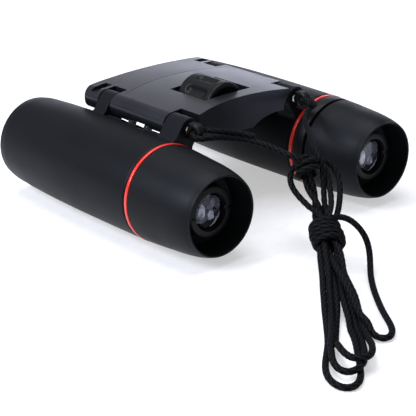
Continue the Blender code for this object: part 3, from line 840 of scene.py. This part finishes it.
def cord_route():
    """The whole cord in one piece: lead, hank, binding turns, loop, return and lead, in millimetres."""
    route = [Vector(point) for point in LEAD_ROUTES["left"]]
    route += [hank_point(2.5, -3.4, 1.6), hank_point(7.0, -2.6, 0.8)]
    for number, (low, height) in enumerate(zip(BIGHTS, BIGHT_HEIGHTS)):
        down, up = 2 * number, 2 * number + 1
        route += pass_down(down)
        route += [hank_point(s, t, 0, height) for s, t in low]
        rising = pass_down(up)[::-1]
        if number < 2:
            route += rising + [hank_point(s, t, 0.0 if number == 0 else 1.5) for s, t in CROWNS[number]]
        else:
            route += rising[:-4] + [hank_point(27.0, 3.4, -2.6)]
    route += wraps()
    route += [Vector(point) for point in LOOP_ROUTE]
    route += [hank_point(47.0, 5.2, 1.6), hank_point(40.0, 3.4, 2.2), hank_point(32.0, 1.4, 1.4)]
    route += [hank_point(s, 0.0, 0.0) for s in (25.0, 20.0, 15.0, 10.0, 5.0)]
    route += [Vector(point) for point in reversed(LEAD_ROUTES["right"])]
    return route


def length_of(points):
    """The length of a polyline."""
    return sum((b - a).length for a, b in zip(points, points[1:]))


def braided_tube(name, centres, radius, finish):
    """A capped tube along centres in millimetres that swells where the braid's carriers cross over."""
    centres = [Vector(c) for c in centres]
    ahead = centres[1:] + centres[:1]
    behind = centres[-1:] + centres[:-1]
    tangents = [(b - a).normalized() for a, b in zip(behind, ahead)]
    tangents[0] = (centres[1] - centres[0]).normalized()
    tangents[-1] = (centres[-1] - centres[-2]).normalized()
    normal = tangents[0].orthogonal().normalized()
    bm = bmesh.new()
    carrier = bm.verts.layers.float_color.new("carrier")
    rings, travelled = [], 0.0
    for index, (centre, tangent) in enumerate(zip(centres, tangents)):
        if index:
            travelled += (centre - centres[index - 1]).length
            normal = tangents[index - 1].rotation_difference(tangent) @ normal
        normal = (normal - tangent * normal.dot(tangent)).normalized()
        side = tangent.cross(normal)
        ring = []
        along = math.tau * travelled / BRAID_PITCH * BRAID_LOBES / 2
        for step in range(RING_SIDES):
            angle = math.tau * step / RING_SIDES
            one = math.cos(BRAID_LOBES * angle + along)
            other = math.cos(BRAID_LOBES * angle - along)
            weave = max(one, other)
            swell = radius * (1.0 + BRAID_SWELL * (weave - 0.4))
            out = normal * math.cos(angle) + side * math.sin(angle)
            vert = bm.verts.new((centre + out * swell) * MM)
            # carrier colour layer: painted shade in the troughs, painted highlight on the crests where the
            # carriers cross over
            shade = 0.5 + 0.5 * weave
            vert[carrier] = (shade, shade, shade, 1.0)
            ring.append(vert)
        rings.append(ring)
    join_rings(bm, zip(rings, rings[1:]))
    bm.faces.new(rings[0][::-1])
    bm.faces.new(rings[-1])
    return add_piece(name, bm, finish, "bridge", sharp=0)


def knot_route():
    """The knot's own turns round both leads, each leaning, with their ends tucked under."""
    heading = (hank_point(6.0, 0, 0) - hank_point(-6.0, 0, 0)).normalized()
    out = heading.orthogonal().normalized()
    across = heading.cross(out)
    points = []
    for step in range(121):
        share = step / 120
        angle = math.tau * KNOT_TURNS * share
        reach = KNOT_RADIUS * (1.0 - 0.5 * abs(2 * share - 1) ** 6)
        along = KNOT_LENGTH * (share - 0.5) + KNOT_LEAN * math.sin(angle + 0.8)
        around = (out * math.cos(angle) + across * math.sin(angle)) * reach
        points.append(KNOT_MIDDLE + around + heading * along)
    return points


def eased(points, gap, rounds, fixed):
    """Pushes touching parts of the cord apart to about gap, round by round; fixed(i) holds a point."""
    count = len(points)
    points = [p.copy() for p in points]
    spacing = length_of(points) / (count - 1)
    apart = max(6, int(2.6 * gap / spacing))
    for _ in range(rounds):
        tree = KDTree(count)
        for index, point in enumerate(points):
            tree.insert(point, index)
        tree.balance()
        shift = [Vector() for _ in points]
        for index, point in enumerate(points):
            for other, near, distance in tree.find_range(point, gap):
                if near > index + apart and distance > 1e-6:
                    push = (point - other) * (0.5 * (gap - distance) / distance)
                    shift[index] += push
                    shift[near] -= push
        for index in range(count):
            if not fixed(index):
                move = shift[index]
                if move.length > MOST_MOVE:
                    move = move.normalized() * MOST_MOVE
                points[index] += move * MOVE_SHARE
                points[index].z = max(points[index].z, FLOOR_LAY)
        smooth = [(a + 2 * b + c) / 4 for a, b, c in zip(points, points[1:], points[2:])]
        points = [points[0]] + [
            b if fixed(i + 1) else b.lerp(s, SMOOTH_SHARE) for i, (b, s) in enumerate(zip(points[1:], smooth))
        ] + [points[-1]]
    return points


def make_cord():
    """The braided neck cord in one continuous length, its hitches through the strap eyes and its knot."""
    diameter = sizes().cord_diameter / MM
    finish = braided_polyester()
    route = smooth_curve(cord_route(), EASE_SPACING)

    def held(index):
        return index < HELD_POINTS or index > len(route) - HELD_POINTS

    route = eased(route, diameter, EASE_ROUNDS, held)
    route = smooth_curve(route, RING_SPACING)
    cord = braided_tube("neck_cord", route, diameter / 2, finish)
    extras = [braided_tube("cord_knot", smooth_curve(knot_route(), 0.5), diameter / 2, finish)]
    for name, points in HITCHES.items():
        extras.append(braided_tube(f"cord_hitch_{name}", smooth_curve(points, 0.4), diameter / 2, finish))
    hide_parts("strap_lead_left", "strap_lead_right", "strap_hank", "strap_loop")


# ---------------------------------------------------------------- barrels


def flowing(points, spacing=0.8):
    """A profile in (y, radius) made smooth."""
    return [(p.x, p.y) for p in smooth_curve([(a, b, 0.0) for a, b in points], spacing)]


def barrel_place(side):
    return Vector((side * BARREL_X, 0, BARREL_Z)) * MM


def make_shell(name, side):
    """The tapered barrel shell with its rounded rim, seat step and slots for the focus arm."""
    rim = [(44.8, 12.9), (44.8, 11.6), (46.6, 11.6)] + arc((46.6, 12.0), 0.4, -90, 0, 4)[1:]
    rim += [(47.0, 12.85)] + arc((46.2, 13.2), 0.8, 10, 60, 5)
    outside = flowing(SHELL_PROFILE)
    seat = [(-20.15, 14.8), (-20.2, 14.6), (-20.2, 12.9)]
    shell = add_piece(
        f"{name}_shell", turned_mesh(rim + outside + seat), soft_touch_coating(), f"{name}_barrel",
        barrel_place(side), sharp=0,
    )
    slot = tilted(side, box_outline(11.0, -1.2, 17.0, 1.2))
    cut(shell, *(
        prism_mesh(slot, "Y", low - ARM_SPARE, high + ARM_SPARE) for low, high in ARM_EYES
    ))
    shell.data.set_sharp_from_angle(angle=math.radians(40))
    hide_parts(f"{name}_barrel")
    return shell


def make_ears(name, side):
    """The two knuckles that stand up from a barrel, flaring where they meet it."""
    knuckle = arc((HINGE_SPAN, 0), 3.65, -88, 88, 28)
    flare = arc((16.2, -6.0), 2.3, 90, 178, 8)
    outline = [(13.2, -6.4), (13.2, 6.4)] + [(a, -b) for a, b in reversed(flare)] + knuckle[::-1] + flare
    bore = circle((side * HINGE_X, HINGE_Z), 1.8)
    for end, (low, high) in (("near", NEAR_EAR), ("far", FAR_EAR)):
        ear = add_piece(
            f"{name}_{end}_ear", prism_mesh(tilted(side, outline), "Y", low, high), soft_touch_coating(),
            f"{name}_barrel", sharp=0,
        )
        cut(ear, prism_mesh(bore, "Y", low - 2, high + 2))
        soften(ear, 0.35 * MM, 3, 40)


def make_ribs(name, side):
    """The low ribs along the barrel under the bridge's knuckle, between the slots for the focus arm."""
    outline = tilted(side, RIB_SECTION)
    for number, (low, high) in enumerate(RIB_SPANS, 1):
        rib = add_piece(
            f"{name}_rib_{number}", prism_mesh(outline, "Y", low, high), soft_touch_coating(),
            f"{name}_barrel", sharp=0,
        )
        soften(rib, 0.12 * MM, 2, 40)


def add_collar(piece, name, corners, finish, slot, side):
    """A short ring on a barrel, with its two outer corners rounded."""
    radius = RING_ROUND if slot == "red_ring" else COLLAR_ROUND
    outline = rounded(corners, (0, radius, radius, 0), 4)
    return add_piece(
        piece, turned_mesh([tuple(p) for p in outline]), finish, f"{name}_barrel",
        barrel_place(side), sharp=40,
    )


def make_ring(name, side):
    """The red lacquered ring between the barrel and the eyepiece."""
    corners = [(-20.5, 12.95), (-20.5, 15.0), (-21.6, 15.0), (-21.6, 12.95)]
    ring = add_collar(f"{name}_accent_ring", name, corners, ring_lacquer(), "red_ring", side)
    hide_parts(f"{name}_red_ring")


def make_eyecup(name, side):
    """The rubber eyecup with its rolled lip and deep cup; the right one stands off its collar."""
    shift = DIOPTRE_OUT if name == "right" else 0.0
    start = -26.9 if name == "right" else -21.9
    skirt = [(y - shift, radius) for y, radius in CUP_SKIRT if y - shift < start - 0.6]
    top = 14.62 if name == "right" else 14.9
    crown = [(y - shift, radius) for y, radius in CUP_CROWN]
    outside = flowing([(start - 0.25, top)] + skirt + crown, 0.7)
    lip = [(y - shift, radius) for y, radius in arc((-45.62, 11.86), 0.38, 150, 280, 8)]
    inside = flowing([(y - shift, radius) for y, radius in CUP_INSIDE], 0.8)[1:]
    floor = [(y - shift, radius) for y, radius in (
        (-37.2, 10.85), (-37.0, 10.5), (-37.0, 8.4), (-36.8, 8.1), (-33.8, 8.1), (-33.8, 12.9),
    )]
    back = [(start, 12.9), (start, top - 0.25)]
    cup = add_piece(
        f"{name}_eyecup_rubber", turned_mesh(outside + lip + inside + floor + back), eyecup_rubber(),
        "left_barrel" if name == "left" else "right_dioptre", barrel_place(side), sharp=42,
    )
    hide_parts(f"{name}_eyecup")


def make_collar():
    """The fixed collar that the right eyecup screws out of."""
    corners = [(-21.9, 12.95), (-21.9, 14.9), (-25.9, 14.68), (-25.9, 12.95)]
    collar = add_collar("right_fixed_collar", "right", corners, moulded_plastic(), "black_plastic", 1.0)
    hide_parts("right_collar")


def lens_outline(rear, front, radius, bulge, steps=14):
    """Half of a lens that bulges on both faces, with a ground edge."""
    heights = [radius * i / steps for i in range(steps + 1)]
    back = [(rear - bulge * (1 - (h / radius) ** 2), h) for h in heights]
    face = [(front + bulge * (1 - (h / radius) ** 2), h) for h in reversed(heights)]
    return back + face


def make_ocular(name, side):
    """The eyepiece in its sliding tube: cell, retaining ring with its spanner slots, and both lenses."""
    shift = DIOPTRE_OUT if name == "right" else 0.0
    body = "left_barrel" if name == "left" else "right_ocular"
    place = barrel_place(side)
    ring = [
        (-41.5, 5.75), (-41.5, 7.3), (-41.3, 7.6), (-41.05, 7.72), (-40.3, 7.72), (-40.3, 5.4), (-40.8, 5.4),
    ]
    cell = [(-40.0, 6.3), (-40.0, 7.73), (-24.5, 7.73), (-24.5, 5.4), (-25.6, 5.4), (-25.7, 6.3)]
    kinds = (
        ("ocular_cell", cell, moulded_plastic(), "black_plastic"),
        ("ocular_ring", ring, moulded_plastic(), "black_plastic"),
        ("eye_lens", lens_outline(-38.8, -37.0, 5.95, 0.9), clear_lens(), "optical_glass"),
        ("field_lens", lens_outline(-28.6, -27.0, 5.95, 0.8), clear_lens(), "optical_glass"),
    )
    for part, outline, finish, slot in kinds:
        moved = [(y - shift, radius) for y, radius in outline]
        piece = add_piece(f"{name}_{part}_fine", turned_mesh(moved, 96), finish, body, place, sharp=35)
        if part == "ocular_ring":
            notch = box_outline(-8.2, -0.45, 8.2, 0.45)
            moved_notch = [((a + side * BARREL_X), b + BARREL_Z) for a, b in notch]
            cut(piece, prism_mesh(moved_notch, "Y", -42.5 - shift, -41.05 - shift))
        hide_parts(f"{name}_{part}")


def make_glowing_lens_patches(name, side):
    """Two glowing plates, an oval and a rounded roof shape, set behind each eye lens: painted light that
    stands in for the bright patches the eye lens shows side by side when it is seen from an angle.
    """
    shift = DIOPTRE_OUT if name == "right" else 0.0
    x, z = side * BARREL_X, BARREL_Z
    turns = [math.tau * i / 32 for i in range(32)]
    oval = [(x + math.cos(t), z - 1.2 + 2.1 * math.sin(t)) for t in turns]
    corners = [(2.3, -4.0), (4.1, -3.8), (3.8, -1.9), (2.8, -1.4), (2.1, -2.4)]
    roof = [tuple(p) for p in rounded([(x + a, z + b) for a, b in corners], (0.2,) * 5, 3)]
    body = "left_barrel" if name == "left" else "right_ocular"
    for part, outline in (("oval", oval), ("roof", roof)):
        face = prism_mesh(outline, "Y", PATCH_DEPTH - shift, PATCH_DEPTH + 0.4 - shift)
        add_piece(f"{name}_painted_glow_{part}", face, emissive_patch_finish(), body, sharp=35)


def make_objective(name, side):
    """The objective end: stepped cell, retaining ring and the coated front lens."""
    place = barrel_place(side)
    body = f"{name}_objective"
    steps = []
    for step in range(6):
        y = 36.4 - 1.9 * step
        steps += [(y, 9.6), (y - 0.5, 9.25), (y - 1.0, 9.6)]
    cell = [
        (25.0, 9.6), (25.0, 10.8), (33.0, 10.8), (33.0, 12.5), (42.2, 12.5), (42.4, 12.3), (42.4, 11.6),
        (42.2, 11.3), (41.4, 10.8), (37.0, 10.8), (37.0, 9.6),
    ] + steps
    corners = [(40.0, 9.9), (41.2, 9.9), (41.2, 10.5), (40.0, 10.5)]
    ring = [tuple(p) for p in rounded(corners, (0.1, 0.2, 0.1, 0), 3)]
    kinds = (
        ("objective_cell", cell, moulded_plastic(), "black_plastic"),
        ("objective_lens", lens_outline(37.4, 39.4, 10.45, 1.0, 24), objective_glass(), "optical_glass"),
        ("objective_ring", ring, moulded_plastic(), "black_plastic"),
    )
    for part, outline, finish, slot in kinds:
        piece = add_piece(
            f"{name}_{part}_fine", turned_mesh(outline, 96), finish, body, place, sharp=35,
        )
        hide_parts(f"{name}_{part}")


def objective_glass():
    """The objective's broadband coating: deep blue-green, with a faint magenta painted in at grazing angles
    as a painted reflection.
    """
    return coated_glass("multicoated_objective_glass", "#5a3f8c", "#061218")


def make_works(name, side):
    """The pieces inside a barrel that the frame already models: given their finishes here."""
    finishes = {
        f"{name}_eyepiece_housing": moulded_plastic(), f"{name}_prism_cage": moulded_plastic(),
        f"{name}_rear_prism": prism_glass(), f"{name}_front_prism": prism_glass(),
        f"{name}_focus_arm": black_screw_steel(),
    }
    for node, finish in finishes.items():
        refinish(node, finish)


def refinish(node, finish):
    """Gives a carried-over frame node this material."""
    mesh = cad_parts[node].data
    mesh.materials.clear()
    mesh.materials.append(finish)


# ---------------------------------------------------------------- bridge


def crown_height(x):
    return 35.5 + 1.0 * (1 - (x / 21.8) ** 2)


def belly_height(x):
    """The height of the bridge's underside at x."""
    return max(25.5, 13.0 + math.sqrt(16.0**2 - (15.6 - abs(x)) ** 2))


def bridge_section():
    """The bridge across: a crowned top that rolls over both hinges, and a belly with two nesting hollows."""
    crown_line = [(x, crown_height(x)) for x in range(-20, 21, 2)]
    knuckle = arc(HINGE_SPOT, 3.7, 90, -90, 40)
    far_side = [(-x, z) for x, z in reversed(knuckle)]
    belly = arc((15.6, 13.0), 16.0, 75, 128.6, 24)
    mirrored = [(-x, z) for x, z in reversed(belly)]
    return crown_line + knuckle + belly + mirrored + far_side


def bridge_plan():
    """The bridge from above: a hollow near edge, straight sides and a straight far edge."""
    near = [(x, -17.3 - 3.0 * (x / 18.5) ** 2) for x in [18.5 * i / 14 for i in range(-14, 15)]]
    right = [(27.0, -20.3), (27.0, 27.0), (25.2, 28.0), (23.7, 28.3), (20.6, 28.6)]
    left = [(-x, y) for x, y in reversed(right)]
    return near + right + left


def both_sides(outline, along, low, high):
    """A cutter for each side from the right-hand one's outline."""
    return [prism_mesh([(side * a, b) for a, b in outline], along, low, high) for _, side in SIDES]


def make_bridge():
    """The bridge moulding with its knuckles, wheel slot, works cavity and the crease across its top."""
    bridge = add_piece(
        "bridge_moulding", prism_mesh(bridge_section(), "Y", -21.0, 33.5), bridge_paint(), "bridge",
        sharp=0,
    )
    cut(bridge, prism_mesh(bridge_plan(), "Z", 20, 42), operation="INTERSECT")
    notch = [(18.3, 38), (18.3, 34.2), (17.6, 32.6), (16.6, 31), (16.6, 24), (28, 24), (28, 38)]
    cut(bridge, *both_sides(notch, "Y", *NEAR_NOTCH), *both_sides(notch, "Y", *FAR_NOTCH))
    cut(bridge, *both_sides(box_outline(18.3, 22.4, 24.4, 25.6), "Z", 34.4, 40))
    window = arc(HINGE_SPOT, 2.85, -28, 135, 20)
    window += [(13.0, HINGE_Z + 2.0), (13.0, 24.0), (28.5, 24.0), (28.5, 28.2)]
    span = (ARM_EYES[0][0] - 1.36, ARM_EYES[1][1] + 1.36)
    cut(bridge, *both_sides(window, "Y", *span))
    cut(bridge, *both_sides(circle(HINGE_SPOT, 1.8, 40), "Y", -30, 27.2))
    cut(bridge, prism_mesh(box_outline(-9.25, SLOT_RANGE[0], 9.25, SLOT_RANGE[1]), "Z", 20, 40))
    cut(bridge, prism_mesh(box_outline(-13.6, -6.5, 13.6, 18.5), "Z", 20, 33.8))
    cut(bridge, prism_mesh(box_outline(-3.6, 4.0, 3.6, 18.5), "Z", 20, 34.7))
    cut(bridge, prism_mesh(circle((0, WHEEL_Z), 1.3, 24), "Y", -15, 21))
    cut(bridge, lid_mesh(15.5, 1.6, 0.3, True))
    for x, y in SCREW_PLACES:
        cut(bridge, prism_mesh(circle((x, y), 1.1, 24), "Z", 25, 33.3))
    clean_flats(bridge)
    soften(bridge, sizes().edge_radius, 3, 30)
    crease(bridge)
    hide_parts("bridge_frame")


def crease(bridge):
    """A fine bowed groove across the crown."""
    xs = [21.5 * i / 20 for i in range(-20, 21)]
    near = [(x, 15.4 - 3.0 * (x / 20) ** 2) for x in xs]
    strip = near + [(x, y + 0.22) for x, y in reversed(near)]
    groove = add_piece("crease_cutter", prism_mesh(strip, "Z", 33, 40), None, None, sharp=0)
    above = [(x, crown_height(x) - 0.16) for x in xs] + [(21.5, 45.0), (-21.5, 45.0)]
    cut(groove, prism_mesh(above, "Y", 0, 30), operation="INTERSECT")
    modifier = bridge.modifiers.new("crease", "BOOLEAN")
    modifier.operation = "DIFFERENCE"
    modifier.solver = "EXACT"
    modifier.object = groove
    settle(bridge)
    bpy.data.objects.remove(groove)
    clean_flats(bridge)
    even_shading(bridge)


def lid_mesh(half_width, thickness, grow, cutter=False):
    """A strip that follows the bridge's underside; as a cutter it reaches below it."""
    low, high = LID_RANGE
    edge = [half_width * i / 24 for i in range(-24, 25)]
    under = [(x, 20.0 if cutter else belly_height(x)) for x in edge]
    over = [(x, belly_height(x) + thickness) for x in reversed(edge)]
    return prism_mesh(under + over, "Y", low - grow, high + grow)


def make_lid():
    """The lid under the bridge, with its wheel window and four countersunk cross-head screws."""
    lid = add_piece(
        "belly_lid", lid_mesh(15.2, 1.3, 0.0), moulded_plastic(), "bridge", sharp=0,
    )
    cut(lid, prism_mesh(box_outline(-7.0, SLOT_RANGE[0], 7.0, SLOT_RANGE[1]), "Z", 20, 32))
    for number, (x, y) in enumerate(SCREW_PLACES, 1):
        seat = belly_height(x) - 0.15
        cut(lid, prism_mesh(circle((x, y), 1.1, 24), "Z", 22, 34))
        cut(lid, prism_mesh(circle((x, y), 2.2, 32), "Z", 22, seat + 0.9))
        make_screw(number, x, y, seat)
    clean_flats(lid)
    soften(lid, 0.15 * MM, 2, 40)
    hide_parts("bridge_lid")


def make_screw(number, x, y, seat):
    """A countersunk cross-head screw with a domed head and its shank."""
    profile = [(0.0, 0.0), (0.02, 0.9), (0.12, 1.5), (0.28, 1.85), (0.42, 1.85), (0.6, 1.6), (0.62, 0.8)]
    profile += [(6.0, 0.8), (6.4, 0.5), (6.4, 0.0)]
    end = min(6.4, 32.8 - seat)
    profile = [(min(h, end), r) for h, r in profile]
    bm = turned_mesh(profile, 48)
    bmesh.ops.rotate(bm, verts=bm.verts[:], cent=(0, 0, 0), matrix=Matrix.Rotation(math.radians(90), 3, "X"))
    screw = add_piece(
        f"lid_screw_{number}_fine", bm, black_screw_steel(), "bridge",
        Vector((x, y, seat)) * MM, sharp=35,
    )
    for a, b in ((0.95, 0.17), (0.17, 0.95)):
        outline = [(x + u * a, y + v * b) for u, v in ((-1, -1), (1, -1), (1, 1), (-1, 1))]
        cut(screw, prism_mesh(outline, "Z", seat - 1, seat + 0.45))
    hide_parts(f"lid_screw_{number}")


# ---------------------------------------------------------------- hinge pins, strap eyes, focus works


def make_pins():
    """Both hinge pins: drawn steel with chamfered ends."""
    for name, side in SIDES:
        outline = [(-20.0, 0.0), (-20.0, 1.25), (-19.75, 1.5), (26.65, 1.5), (26.9, 1.25), (26.9, 0.0)]
        pin = add_piece(
            f"{name}_pin_fine", turned_mesh(outline, 48), turned_steel(), "bridge",
            Vector((side * HINGE_X, 0, HINGE_Z)) * MM, sharp=35,
        )
        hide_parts(f"{name}_hinge_pin")


def make_lugs():
    """The moulded strap eyes on the near ends of the pins, rounded all over."""
    y, z = LUG_EYE_Y, HINGE_Z
    outline = [(-20.3, z + 2.7)] + arc((y, z), 2.7, 90, 270, 28) + [(-20.3, z - 2.7)]
    for name, side in SIDES:
        x = side * HINGE_X
        lug = add_piece(
            f"{name}_strap_eye", prism_mesh(outline, "X", x - 1.3, x + 1.3), moulded_plastic(), "bridge",
            sharp=0,
        )
        cut(lug, prism_mesh(circle((y, z), 1.2, 32), "X", x - 3, x + 3))
        soften(lug, 0.55 * MM, 4, 40)
        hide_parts(f"{name}_strap_lug")


def make_wheel():
    """The focus wheel: a round-edged drum with capsule-shaped finger flutes and a dished near end."""
    near, far = WHEEL_RANGE
    deep = sizes().flute_depth / MM
    count = sizes().flutes
    edge = arc((near + 0.8, WHEEL_RADIUS - 0.8), 0.8, 180, 90, 8)
    barrel = [(near + 0.8 + (far - near - 1.6) * i / 56, WHEEL_RADIUS) for i in range(1, 56)]
    far_edge = arc((far - 0.8, WHEEL_RADIUS - 0.8), 0.8, 90, 0, 8)
    far_face = [(far, 5.0), (far, 3.0), (far, 1.3)]
    near_dish = [(near + inset, radius) for inset, radius in WHEEL_DISH]
    rows = near_dish + edge + barrel + far_edge + far_face
    bm = bmesh.new()
    rings = []
    for y, radius in rows:
        ring = []
        for step in range(WHEEL_STEPS):
            angle = math.tau * step / WHEEL_STEPS
            r = radius
            if radius > FLUTED_FROM:
                turn = (math.degrees(angle) - FIRST_FLUTE + 180 / count) % (360 / count) - 180 / count
                across = math.radians(turn) * WHEEL_RADIUS
                beyond = max(0.0, abs(y - FLUTE_MIDDLE) - (FLUTE_HALF_LENGTH - FLUTE_HALF_WIDTH))
                distance = math.hypot(across, beyond) / FLUTE_HALF_WIDTH
                if distance < BOWL_REACH:
                    bowl = max(0.0, 1 - (distance / BOWL_REACH) ** 2)
                    r -= deep * bowl ** BOWL_POWER
            ring.append(bm.verts.new((-r * math.sin(angle) * MM, y * MM, r * math.cos(angle) * MM)))
        rings.append(ring)
    join_rings(bm, zip(rings, rings[1:] + rings[:1]))
    wheel = add_piece(
        "fluted_focus_wheel", bm, moulded_plastic(), "focus_wheel",
        Vector((0, 0, WHEEL_Z)) * MM, sharp=35,
    )
    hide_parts("focus_wheel")


def make_screw_rod():
    """The brass lead screw, threaded where the yoke's nut rides."""
    outline = [(-14.6, 0.0), (-14.6, 0.85), (-14.45, 1.0), (4.0, 1.0)]
    y = 4.0
    while y < 20.0:
        outline += [(y + 0.05, 1.0), (y + 0.25, 0.82), (y + 0.45, 1.0)]
        y += 0.5
    outline += [(20.2, 1.0), (20.4, 0.8), (20.4, 0.0)]
    rod = add_piece(
        "lead_screw_fine", turned_mesh(outline, 40), machined_brass(), "focus_wheel",
        Vector((0, 0, WHEEL_Z)) * MM, sharp=30,
    )
    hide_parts("focus_screw")


# ---------------------------------------------------------------- operators


class BINOCULAR_OT_stage(bpy.types.Operator):
    """Make the stage, lights and camera"""
    bl_idname = "binocular.stage"
    bl_label = "Stage and camera"

    def execute(self, context):
        make_stage()
        return {"FINISHED"}


class BINOCULAR_OT_cord(bpy.types.Operator):
    """Make the braided neck cord"""
    bl_idname = "binocular.cord"
    bl_label = "Neck cord"

    def execute(self, context):
        make_cord()
        return {"FINISHED"}


class BINOCULAR_OT_barrels(bpy.types.Operator):
    """Make both barrel shells with their ears and red rings"""
    bl_idname = "binocular.barrels"
    bl_label = "Barrels"

    def execute(self, context):
        for name, side in SIDES:
            make_shell(name, side)
            make_ears(name, side)
            make_ribs(name, side)
            make_ring(name, side)
        return {"FINISHED"}


class BINOCULAR_OT_eyecups(bpy.types.Operator):
    """Make both eyecups and the right collar"""
    bl_idname = "binocular.eyecups"
    bl_label = "Eyecups"

    def execute(self, context):
        for name, side in SIDES:
            make_eyecup(name, side)
        make_collar()
        return {"FINISHED"}


class BINOCULAR_OT_optics(bpy.types.Operator):
    """Make the eyepieces and objectives and finish the prisms behind them"""
    bl_idname = "binocular.optics"
    bl_label = "Optics"

    def execute(self, context):
        for name, side in SIDES:
            make_ocular(name, side)
            make_glowing_lens_patches(name, side)
            make_objective(name, side)
            make_works(name, side)
        return {"FINISHED"}


class BINOCULAR_OT_bridge(bpy.types.Operator):
    """Make the bridge moulding, its lid and the lid's screws"""
    bl_idname = "binocular.bridge"
    bl_label = "Bridge"

    def execute(self, context):
        make_bridge()
        make_lid()
        return {"FINISHED"}


class BINOCULAR_OT_hardware(bpy.types.Operator):
    """Make the hinge pins and strap eyes"""
    bl_idname = "binocular.hardware"
    bl_label = "Pins and strap eyes"

    def execute(self, context):
        make_pins()
        make_lugs()
        return {"FINISHED"}


class BINOCULAR_OT_focus(bpy.types.Operator):
    """Make the focus wheel and lead screw and finish the yoke"""
    bl_idname = "binocular.focus"
    bl_label = "Focus works"

    def execute(self, context):
        make_wheel()
        make_screw_rod()
        refinish("focus_yoke", moulded_plastic())
        return {"FINISHED"}


OPERATORS = (
    BINOCULAR_OT_stage, BINOCULAR_OT_cord, BINOCULAR_OT_barrels, BINOCULAR_OT_eyecups, BINOCULAR_OT_optics,
    BINOCULAR_OT_bridge, BINOCULAR_OT_hardware, BINOCULAR_OT_focus,
)


class BINOCULAR_PT_panel(bpy.types.Panel):
    """Sizes, colours and the pieces in order"""
    bl_idname = "BINOCULAR_PT_panel"
    bl_label = "Folding binoculars"
    bl_space_type = "VIEW_3D"
    bl_region_type = "UI"
    bl_category = "Binoculars"

    def draw(self, context):
        layout = self.layout
        for group in (context.scene.binocular_sizes, context.scene.binocular_colours):
            for name in group.bl_rna.properties.keys():
                if name not in ("rna_type", "name"):
                    layout.prop(group, name)
        for operator in OPERATORS:
            layout.operator(operator.bl_idname)


CLASSES = (BinocularSizes, BinocularColours, *OPERATORS, BINOCULAR_PT_panel)


def register():
    for made in CLASSES:
        bpy.utils.register_class(made)
    bpy.types.Scene.binocular_sizes = PointerProperty(type=BinocularSizes)
    bpy.types.Scene.binocular_colours = PointerProperty(type=BinocularColours)


def unregister():
    del bpy.types.Scene.binocular_colours
    del bpy.types.Scene.binocular_sizes
    for made in reversed(CLASSES):
        bpy.utils.unregister_class(made)


def main():
    register()
    for operator in OPERATORS:
        group, name = operator.bl_idname.split(".")
        getattr(getattr(bpy.ops, group), name)()


if __name__ == "__main__":
    main()
